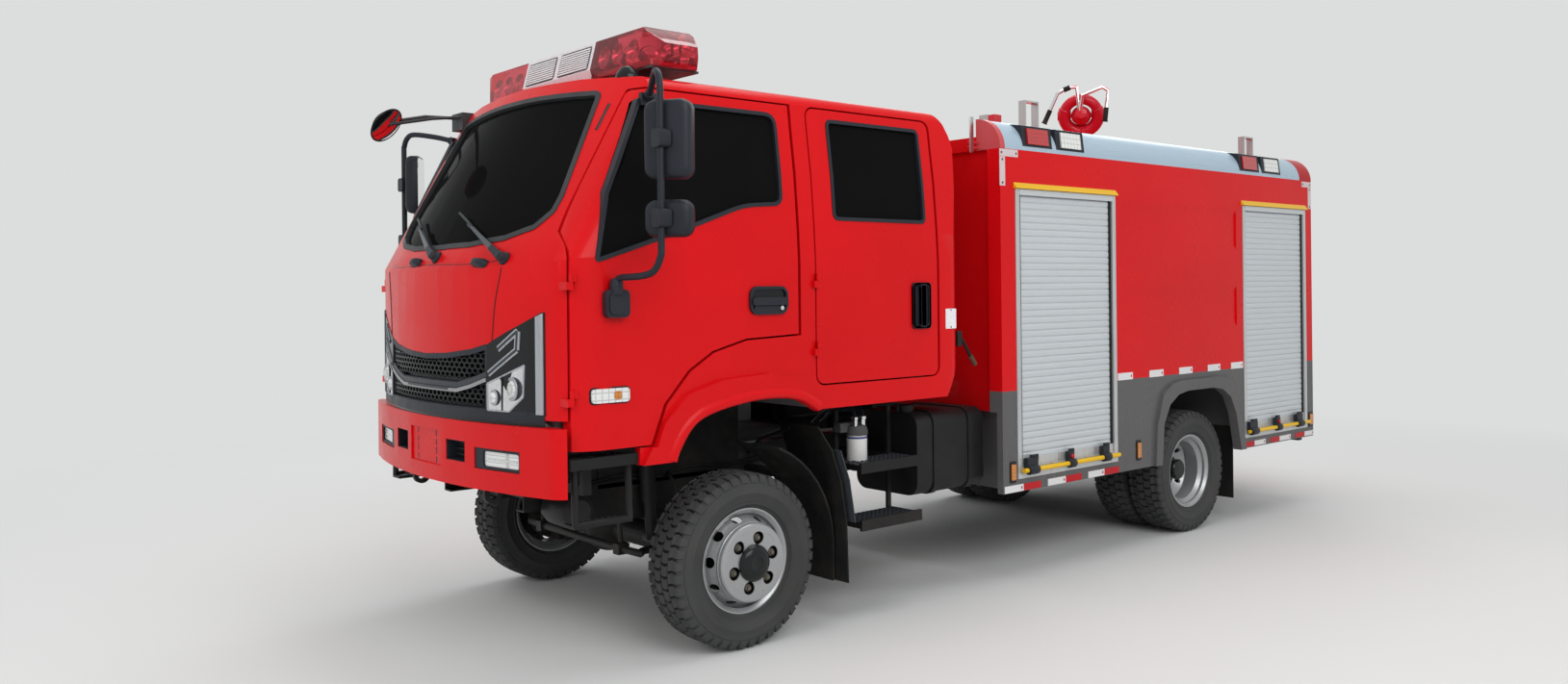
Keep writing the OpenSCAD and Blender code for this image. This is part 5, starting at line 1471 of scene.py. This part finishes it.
def cannon_plate():
    """A blank plate on the ring."""
    shape = Shape()
    tilt = Matrix.Rotation(RING_TILT, 3, "Y")
    shape.prism(rounded(0.06, 0.036, 0.003),
                lambda a, b, depth: on_cannon(tilt @ Vector((0.034 + depth, a, b - RING_R))), 0.0, 0.007, 0)
    shape.piece("cannon_plate", "cannon_body", tape_white)


def cannon_core():
    """The ball in the middle of the ring and the tail of the barrel."""
    shape = Shape()
    axis = Matrix.Rotation(CANNON_TURN, 3, "Z") @ Vector((1, 0, 0))
    ball = [(CORE_R * math.sin(t), -CORE_R * math.cos(t)) for t in (math.pi * k / 14 for k in range(1, 11))]
    shape.lathe([(0.0, -CORE_R)] + ball + BARREL_TAIL, CANNON, axis, 0, 32)
    shape.piece("cannon_core", "cannon_barrel", cannon_paint, angle=40)


def cannon_ring():
    """The thicker lower part of the ring."""
    shape = Shape()
    tilt = Matrix.Rotation(RING_TILT, 3, "Y")
    turns = [math.radians(-205 + 10 * i) for i in range(24)]
    shape.tube([on_cannon(tilt @ Vector((0, RING_R * math.cos(t), RING_R * math.sin(t)))) for t in turns],
               RING_THICK, 0, 20)
    shape.piece("cannon_ring", "cannon_body", cannon_paint, bevel=0.006, angle=40)


cannon_parts()
cannon_plate()
cannon_core()
cannon_ring()

# Seats and dashboard

SEAT_Y, SEAT_TILT = 0.53, math.radians(7)
BENCH_Y, BENCH_TILT = (-0.56, 0.0, 0.56), math.radians(6)
# Cushions: width, depth, thickness
SEAT_SIZE, BACK_SIZE, REST_SIZE = (0.45, 0.45, 0.12), (0.43, 0.48, 0.1), (0.26, 0.14, 0.08)
BENCH_SIZE, BENCH_BACK_SIZE = (0.545, 0.46, 0.13), (0.545, 0.52, 0.095)


def cushion(name, size, place):
    """A stuffed block with rounded edges, a crown and a stitched panel; place(a, b, up) gives a point."""
    wide, deep, tall = size
    rows = [(0.0, 0.03), (0.014, 0.01), (0.04, 0.0), (tall - 0.045, 0.0), (tall - 0.018, 0.008),
            (tall - 0.004, 0.03), (tall, 0.055), (tall - 0.006, 0.066), (tall + 0.004, 0.078),
            (tall + 0.012, 0.11), (tall + 0.016, 0.16)]
    shape = Shape()
    rings = []
    for up, inset in rows:
        radius = max(0.02, 0.06 - 0.2 * inset)
        rings.append([place(a, b, up) for a, b in rounded(wide - 2 * inset, deep - 2 * inset, radius, 6)])
    shape.loft(rings)
    made = shape.piece(name, CHASSIS, seat_cloth, angle=70)
    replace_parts(made, "cab_interior")


def lying(x, y, z):
    """Places a cushion flat, with its middle at x, y and its underside at z."""
    return lambda a, b, up: at(x + b, y + a, z + up)


def leaning(x, y, z, tilt):
    """Places a cushion upright, facing forwards and leaning back."""
    c, s = math.cos(tilt), math.sin(tilt)
    return lambda a, b, up: at(x + up * c - b * s, y + a, z + up * s + b * c)


def seats():
    frames = Shape()
    for side in (LEFT, RIGHT):
        name, y = SIDE_NAME[side], side * SEAT_Y
        cushion(f"seat_cushion_{name}", SEAT_SIZE, lying(-0.02, y, 1.285))
        cushion(f"seat_back_{name}", BACK_SIZE, leaning(-0.25, y, 1.67, SEAT_TILT))
        cushion(f"head_rest_{name}", REST_SIZE, leaning(-0.283, y, 2.0, SEAT_TILT))
        frames.box(at(-0.24, y - 0.2, 1.17), at(0.19, y + 0.2, 1.215), 0)
        frames.box(at(-0.2, y - 0.17, 1.215), at(0.15, y + 0.17, 1.287), 1)
        for post in (-0.06, 0.06):
            frames.tube([at(-0.255, y + post, 1.86), at(-0.27, y + post, 1.97)], 0.007, 2)
    for i, y in enumerate(BENCH_Y):
        cushion(f"bench_cushion_{i}", BENCH_SIZE, lying(-1.115, y, 1.315))
        cushion(f"bench_back_{i}", BENCH_BACK_SIZE, leaning(-1.36, y, 1.72, BENCH_TILT))
    frames.box(at(-1.34, -0.83, 1.096), at(-0.9, 0.83, 1.317), 1)
    made = frames.piece("seat_frames", CHASSIS, chassis_paint, dash_plastic, chrome, bevel=0.004)
    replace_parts(made, "cab_interior")


# Dashboard: half width, and its section from the lower edge round to the windscreen, as X and height
DASH_HALF = 0.828
DASH = [(0.642, 1.462), (0.602, 1.52), (0.592, 1.59), (0.606, 1.645), (0.652, 1.698), (0.72, 1.728),
        (0.8, 1.744)]
# Air vents: middle across, lowest bar, step and number of the bars
DASH_VENTS, VENT_Z, VENT_STEP, VENT_BARS = (-0.72, -0.1, 0.12, 0.74), 1.592, 0.0105, 5
# Hood over the dials and their face: X, height
DIAL_HOOD = [(0.6, 1.66), (0.575, 1.715), (0.6, 1.76), (0.7, 1.768), (0.78, 1.742), (0.7, 1.69)]
DIAL_FACE = [(0.598, 1.668), (0.5735, 1.715), (0.597, 1.752)]
# Steering column: radius, distance along its axis
COLUMN = [(0.0, -0.43), (0.034, -0.43), (0.034, -0.3), (0.0335, -0.22), (0.0245, -0.215), (0.0245, -0.299),
          (0.0, -0.299)]
WHEEL_TILT = math.radians(40)
WHEEL_AXIS = Vector((-math.sin(WHEEL_TILT), 0, math.cos(WHEEL_TILT)))


def dashboard():
    shape = Shape()
    rings = []
    for i in range(13):
        y = DASH_HALF * (i / 6 - 1)
        front = cab_x(y, 0.04) - 0.003
        section = DASH + [(min(front, 0.99), 1.744), (front, 1.7), (front, 1.462)]
        rings.append([at(x, y, z) for x, z in section])
    shape.loft(rings)
    for y in DASH_VENTS:
        shape.box(at(0.589, y - 0.06, 1.585), at(0.61, y + 0.06, 1.64), 1)
        for k in range(VENT_BARS):
            z = VENT_Z + VENT_STEP * k
            shape.box(at(0.586, y - 0.055, z), at(0.592, y + 0.055, z + 0.004), 0)
    shape.box(at(0.588, -0.27, 1.49), at(0.61, -0.02, 1.57), 1)
    shape.box(at(0.598, -0.7, 1.49), at(0.612, -0.36, 1.56), 0)
    shape.prism(DIAL_HOOD, lambda a, b, depth: at(a, depth, b), 0.3, 0.66, 0)
    shape.prism(DIAL_FACE, lambda a, b, depth: at(a - 0.0015, depth, b), 0.32, 0.64, 1)
    shape.lathe(COLUMN, JOINT["steering_wheel_turn"], WHEEL_AXIS, 0, 32)
    made = shape.piece("dashboard", CHASSIS, dash_plastic, gloss_black, bevel=0.002)
    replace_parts(made, "cab_interior")


seats()
dashboard()

# Door linings

# Outlines: X, height
FRONT_LINING = [(0.7, 1.08), (0.7, 1.65), (0.34, 1.82), (-0.2, 1.94), (-0.26, 1.9), (-0.26, 1.45),
                (0.02, 1.435), (0.22, 1.38), (0.36, 1.3), (0.48, 1.16), (0.53, 1.08)]
REAR_LINING = [(-0.46, 1.22), (-0.46, 1.89), (-1.19, 1.89), (-1.19, 1.22)]
LINING_Y = (0.946, 0.957)


def door_lining(body, outline, side, rest, handle):
    """Lining, arm rest and handle inside a door."""
    def place(a, b, depth):
        return at(a, side * depth, b)

    shape = Shape()
    shape.prism(outline, place, *LINING_Y, 0)
    shape.prism(moved(rounded(0.42, 0.06, 0.025), *rest), place, 0.915, 0.95, 1)
    shape.prism(moved(rounded(0.14, 0.05, 0.02), *handle), place, 0.94, 0.948, 2)
    shape.piece(f"{body}_lining", body, dash_plastic, seat_cloth, chrome, bevel=0.002)


for side in (LEFT, RIGHT):
    door_lining(f"door_front_{SIDE_NAME[side]}", FRONT_LINING, side, (0.18, 1.6), (0.3, 1.7))
    door_lining(f"door_rear_{SIDE_NAME[side]}", REAR_LINING, side, (-0.86, 1.52), (-0.62, 1.66))

# Parts under the cab and the body

# Outer face of the rails, and X of the rear axle
RAIL_OUT, REAR_AXLE = 0.415, -3.65
# Rows of bolts along a rail: rear end, front end, height; their step, and a bolt's radius and height
BOLT_ROWS, BOLT_STEP = [(-1.1, 0.75, 0.685), (-1.03, 0.75, 0.79)], 0.145
BOLT = [(0.0, -0.001), (0.013, -0.001), (0.013, 0.007), (0.0, 0.008)]
# Shock absorbers: foot, head
SHOCKS = [((0.16, 0.455, 0.44), (0.2, 0.47, 0.8)), ((-3.45, 0.46, 0.47), (-3.36, 0.47, 0.8))]
U_BOLTS_X = (-0.055, 0.055, REAR_AXLE - 0.065, REAR_AXLE + 0.065)
U_BOLTS_Y, U_BOLTS_Z = (0.344, 0.418), (0.5, 0.585)
# Air lines along a rail: height, sag; and the brake hose
AIR_LINES = [(0.735, 0.012), (0.755, 0.02)]
BRAKE_HOSE = [(0.05, 0.43, 0.74), (0.08, 0.5, 0.72), (0.06, 0.54, 0.62), (0.02, 0.52, 0.47)]
# Air vessel and brake chamber: radius, distance along the axis
VESSEL = [(0.0, -0.12), (0.05, -0.118), (0.074, -0.1), (0.08, -0.08), (0.08, 0.08), (0.074, 0.1),
          (0.05, 0.118), (0.0, 0.12)]
CHAMBER = [(0.0, 0.0), (0.07, 0.0), (0.078, 0.02), (0.084, 0.03), (0.078, 0.04), (0.07, 0.1), (0.04, 0.115),
           (0.0, 0.115)]


def underbody(side):
    name = SIDE_NAME[side]
    shape = Shape()
    for rear, front, z in BOLT_ROWS:
        for i in range(int((front - rear) / BOLT_STEP) + 1):
            shape.lathe(BOLT, at(rear + i * BOLT_STEP, side * RAIL_OUT, z), (0, side, 0), 0, 6)
    for foot, head in SHOCKS:
        foot, head = (at(x, side * y, z) for x, y, z in (foot, head))
        shape.tube([foot, foot.lerp(head, 0.55)], 0.03, 0, 16)
        shape.tube([foot.lerp(head, 0.5), head], 0.038, 0, 16)
        for end in (foot, head):
            pin = [end - Vector((0, side * 0.055, 0)), end + Vector((0, side * 0.03, 0))]
            shape.tube(pin, 0.022, 1, 16)
    for x in U_BOLTS_X:
        for y in U_BOLTS_Y:
            shape.tube([at(x, side * y, z) for z in U_BOLTS_Z], 0.008, 1, 8)
    for z, sag in AIR_LINES:
        line = [at(0.7 - 0.2 * i, side * (RAIL_OUT + 0.012), z - sag * (i % 2)) for i in range(9)]
        shape.tube(curve(line, 4), 0.006, 2, 8)
    shape.tube(curve([at(x, side * y, z) for x, y, z in BRAKE_HOSE]), 0.009, 2, 8)
    # Black sheets beside the rail as painted shade, closing the gaps between the parts under the cab; and on
    # the left an air vessel ahead of the wheel
    side_box(shape, side, (-0.3, 0.416, 0.56), (0.52, 0.421, 0.72), 2)
    side_box(shape, side, (-0.38, 0.416, 0.7), (0.43, 0.421, 1.128), 2)
    if side == LEFT:
        shape.lathe(VESSEL, at(0.66, 0.55, 0.66), (0, 1, 0), 0, 28)
        for x in (0.63, 0.69):
            shape.tube([at(x, 0.5, 0.72), at(x, 0.41, 0.74)], 0.008, 0, 8)
    # Rear brake chambers
    shape.lathe(CHAMBER, at(-3.5, side * 0.25, 0.52), (1, 0, 0.15), 0, 28)
    side_box(shape, side, (-3.6, 0.2, 0.44), (-3.49, 0.3, 0.57))
    shape.piece(f"underbody_{name}", CHASSIS, chassis_paint, casting, flap_rubber, angle=30)


# Stabiliser bar, and the place across of its links
STABILISER = [(0.06, -0.5, 0.415), (0.24, -0.5, 0.4), (0.285, -0.46, 0.4), (0.285, 0.46, 0.4),
              (0.24, 0.5, 0.4), (0.06, 0.5, 0.415)]
LINK_Y = 0.38


def stabiliser():
    """A bent bar ahead of the front axle."""
    shape = Shape()
    shape.tube(curve([at(*p) for p in STABILISER], 5), 0.018, 0, 12)
    for side in (LEFT, RIGHT):
        y = side * LINK_Y
        shape.tube([at(0.285, y, 0.4), at(0.3, y, 0.645)], 0.011, 0, 10)
        shape.box(at(0.255, y - 0.025, 0.375), at(0.315, y + 0.025, 0.425), 0)
    shape.piece("stabiliser", CHASSIS, chassis_paint)


# Exhaust: pipes before and behind the silencer, and the silencer as radius, distance along it
PIPE_IN = [(0.2, -0.3, 0.62), (-0.1, -0.44, 0.58), (-0.42, -0.52, 0.545), (-0.58, -0.54, 0.54)]
PIPE_OUT = [(-1.02, -0.56, 0.54), (-1.12, -0.58, 0.5), (-1.14, -0.75, 0.46), (-1.14, -0.95, 0.44)]
SILENCER_AT = (-0.57, -0.56, 0.54)
SILENCER = [(0.0, 0.0), (0.05, 0.0), (0.09, 0.03), (0.095, 0.04), (0.095, 0.42), (0.09, 0.43), (0.05, 0.46),
            (0.0, 0.46)]


def exhaust():
    shape = Shape()
    shape.tube(curve([at(*p) for p in PIPE_IN]), 0.032, 1, 16)
    shape.lathe(SILENCER, at(*SILENCER_AT), (-1, 0, 0), 0, 32)
    shape.tube(curve([at(*p) for p in PIPE_OUT]), 0.03, 1, 16)
    shape.piece("exhaust", CHASSIS, casting, chassis_paint, angle=40)


for side in (LEFT, RIGHT):
    underbody(side)
stabiliser()
exhaust()

# Tail lamps, roof posts, data plate and splash sheets

TAIL_Y, TAIL_Z = 0.89, 0.74
DATA_PLATE = (-1.341, 1.45)


def tail_lamps(side):
    """A lamp of three lenses, and tapes up the body's rear edge."""
    def place(a, b, depth):
        return at(BOX_REAR - depth, side * a, b)

    shape = Shape()
    outer = moved(rounded(0.2, 0.22, 0.016), TAIL_Y, TAIL_Z)
    inner = moved(rounded(0.172, 0.192, 0.01), TAIL_Y, TAIL_Z)
    ring(shape, outer, inner, place, 0.0, 0.028)
    for z, far, number in ((0.675, 0.03, 1), (0.805, 0.03, 2), (TAIL_Z, 0.029, 3)):
        shape.prism(moved(rounded(0.168, 0.058, 0.008), TAIL_Y, z), place, 0.02, far, number)
    for z in (1.15, 1.5, 1.85):
        shape.prism(moved(rounded(0.034, 0.16, 0.004), 0.985, z), place, -0.0005, 0.0015, 4)
    shape.piece(f"tail_lamp_{SIDE_NAME[side]}", CHASSIS, black_plastic, white_lens, amber_lens, red_lens,
                tape_white, bevel=0.001)


ROOF_TOP = 2.44
# Post, its two arms, and the lug: corners, number of the look
ROOF_POST = [((-1.644, 0.899, 2.347), (-1.614, 0.905, 2.545), 0),
             ((-1.692, 0.887, 2.372), (-1.612, 0.899, 2.384), 1),
             ((-1.692, 0.887, 2.4), (-1.612, 0.899, 2.412), 1),
             ((-1.945, 0.8, ROOF_TOP - 0.001), (-1.885, 0.85, 2.588), 1)]


def roof_post(side):
    """A flat post ahead of the body on two arms, and a lug on the roof."""
    shape = Shape()
    for lo, hi, number in ROOF_POST:
        side_box(shape, side, lo, hi, number)
    shape.piece(f"roof_post_{SIDE_NAME[side]}", CHASSIS, steel, cap_red, bevel=0.0015)


def data_plate(side):
    """A blank plate with two rivets on the cab's rear edge."""
    place = flank_place(side)
    shape = Shape()
    shape.prism(moved(rounded(0.08, 0.104, 0.004), *DATA_PLATE), place, -0.0005, 0.0014)
    for z in (1.406, 1.494):
        shape.prism(moved(rounded(0.008, 0.008, 0.0038), DATA_PLATE[0], z), place, 0.001, 0.003, 1)
    shape.piece("data_plate", CHASSIS, louvre_white, casting)


# Splash sheet behind a front wheel: X, height, outer edge
FLAP_ROWS = [(-0.541, 0.214, 1.058), (-0.541, 0.5, 1.05), (-0.531, 0.7, 1.022), (-0.51, 0.84, 0.985),
             (-0.468, 0.952, 0.935)]


def front_flap(side):
    shape = Shape()
    for back, grow, number in ((0.008, 0.0, 0), (0.036, 0.03, 1)):
        rows = FLAP_ROWS if number == 0 else FLAP_ROWS[1:4]
        near = 0.0 if number == 0 else 0.03
        rings = []
        for x, z, y in rows:
            inner = 0.64 if number == 0 else y - 0.1
            corners = ((x - near, inner), (x - near, y + grow), (x - back, y + grow), (x - back, inner))
            rings.append([at(a, side * b, z) for a, b in corners])
        shape.loft(rings, number)
    side_box(shape, side, (-0.575, 0.9, 0.6), (-0.54, 0.96, 0.64))
    shape.tube([at(-0.475, side * 0.72, 0.93), at(-0.46, side * 0.5, 0.86), at(-0.45, side * 0.42, 0.78)],
               0.012, 2, 10)
    shape.piece(f"front_flap_{SIDE_NAME[side]}", CHASSIS, flap_rubber, bar_grey, chassis_paint, bevel=0.001)


for side in (LEFT, RIGHT):
    tail_lamps(side)
    roof_post(side)
    front_flap(side)
data_plate(LEFT)

# Stage

FLOOR_HALF = 60.0
FLOOR_FADE = (3.5, 9.0)
BACKDROP, WORLD_LIGHT = (0.716, 0.728, 0.722), 0.42


def seen_share(tree):
    """1 for rays from the camera, mirrored or through glass, which see the plain backdrop."""
    path = tree.nodes.new("ShaderNodeLightPath")
    share = path.outputs["Is Camera Ray"]
    for kind in ("Is Glossy Ray", "Is Transmission Ray"):
        most = tree.nodes.new("ShaderNodeMath")
        most.operation = "MAXIMUM"
        tree.links.new(share, most.inputs[0])
        tree.links.new(path.outputs[kind], most.inputs[1])
        share = most.outputs["Value"]
    return share


def make_floor():
    mesh = bpy.data.meshes.new("floor")
    corners = [(sx * FLOOR_HALF, sy * FLOOR_HALF, 0.0) for sx, sy in ((-1, -1), (1, -1), (1, 1), (-1, 1))]
    mesh.from_pydata(corners, [], [(0, 1, 2, 3)])
    floor = bpy.data.objects.new("floor", mesh)
    bpy.context.scene.collection.objects.link(floor)
    look = Look("floor_look", None, 0.9)
    look.set(**{"Base Color": (*BACKDROP, 1), "Specular IOR Level": 0.0})
    # Far from the truck the floor turns into the plain backdrop
    reach = look.node("ShaderNodeVectorMath", operation="LENGTH")
    look.link(look.coords, reach.inputs[0])
    glow = look.node("ShaderNodeEmission")
    glow.inputs["Color"].default_value = (*BACKDROP, 1)
    fade = look.node("ShaderNodeMixShader")
    far = look.ramp(reach.outputs["Value"], *FLOOR_FADE)
    look.link(look.math("MULTIPLY", far, seen_share(look.tree)), fade.inputs["Fac"])
    look.link(look.shader.outputs["BSDF"], fade.inputs[1])
    look.link(glow.outputs["Emission"], fade.inputs[2])
    look.link(fade.outputs["Shader"], look.tree.nodes["Material Output"].inputs["Surface"])
    mesh.materials.append(look.mat)


def make_world():
    world = bpy.data.worlds.new("studio")
    bpy.context.scene.world = world
    world.use_nodes = True
    tree = world.node_tree
    light = tree.nodes["Background"]
    light.inputs["Color"].default_value = (1, 1, 1, 1)
    light.inputs["Strength"].default_value = WORLD_LIGHT
    seen = tree.nodes.new("ShaderNodeBackground")
    seen.inputs["Color"].default_value = (*BACKDROP, 1)
    both = tree.nodes.new("ShaderNodeMixShader")
    tree.links.new(seen_share(tree), both.inputs["Fac"])
    tree.links.new(light.outputs["Background"], both.inputs[1])
    tree.links.new(seen.outputs["Background"], both.inputs[2])
    tree.links.new(both.outputs["Shader"], tree.nodes["World Output"].inputs["Surface"])


# Soft boxes: place, target, width, height, watts, and whether gloss shows them;
# the windscreen faces two of them
SOFT_BOXES = [
    ((3.0, 9.0, 6.5), (0.0, 0.5, 1.2), 8.0, 5.0, 470, True),
    ((10.0, 1.0, 5.5), (1.5, 0.0, 1.4), 6.0, 5.0, 245, False),
    ((-1.0, 0.0, 9.5), (-0.5, 0.0, 0.0), 9.0, 5.0, 330, True),
    ((-9.0, -5.0, 6.0), (-1.0, 0.0, 1.2), 6.0, 5.0, 200, True),
    ((2.0, -9.0, 5.5), (0.0, 0.0, 1.2), 7.0, 4.0, 180, False),
]


def make_lights():
    for i, (place, target, width, height, watts, mirrored) in enumerate(SOFT_BOXES):
        lamp = bpy.data.lights.new(f"soft_box_{i}", "AREA")
        lamp.shape, lamp.size, lamp.size_y, lamp.energy = "RECTANGLE", width, height, watts
        made = bpy.data.objects.new(lamp.name, lamp)
        made.location = place
        made.rotation_euler = (Vector(target) - Vector(place)).to_track_quat("-Z", "Y").to_euler()
        made.visible_glossy = mirrored
        bpy.context.scene.collection.objects.link(made)


# Camera, solved from the photograph's straight edges; its place is counted from the front axle
IMAGE_W = 1629
FOCAL_PX = 1219.1
MIDDLE_OFF_PX = (44.6, -57.2)
CAMERA_AT = (3.210, 5.176, 1.619)
CAMERA_YAW, CAMERA_PITCH, CAMERA_ROLL = (math.radians(a) for a in (-131.45, 0.03, -0.60))


def make_camera():
    data = bpy.data.cameras.new("camera")
    data.sensor_width = 36.0
    data.lens = FOCAL_PX * data.sensor_width / IMAGE_W
    data.shift_x, data.shift_y = -MIDDLE_OFF_PX[0] / IMAGE_W, MIDDLE_OFF_PX[1] / IMAGE_W
    made = bpy.data.objects.new("camera", data)
    bpy.context.scene.collection.objects.link(made)
    ahead = Vector((math.cos(CAMERA_YAW) * math.cos(CAMERA_PITCH),
                    math.sin(CAMERA_YAW) * math.cos(CAMERA_PITCH), math.sin(CAMERA_PITCH)))
    level = ahead.cross(Vector((0, 0, 1))).normalized()
    up = level.cross(ahead)
    c, s = math.cos(CAMERA_ROLL), math.sin(CAMERA_ROLL)
    axes = Matrix((level * c + up * s, up * c - level * s, -ahead)).transposed()
    made.matrix_world = Matrix.Translation(at(*CAMERA_AT)) @ axes.to_4x4()
    bpy.context.scene.camera = made


make_floor()
make_world()
make_lights()
make_camera()
bpy.context.scene.view_settings.view_transform = "Standard"
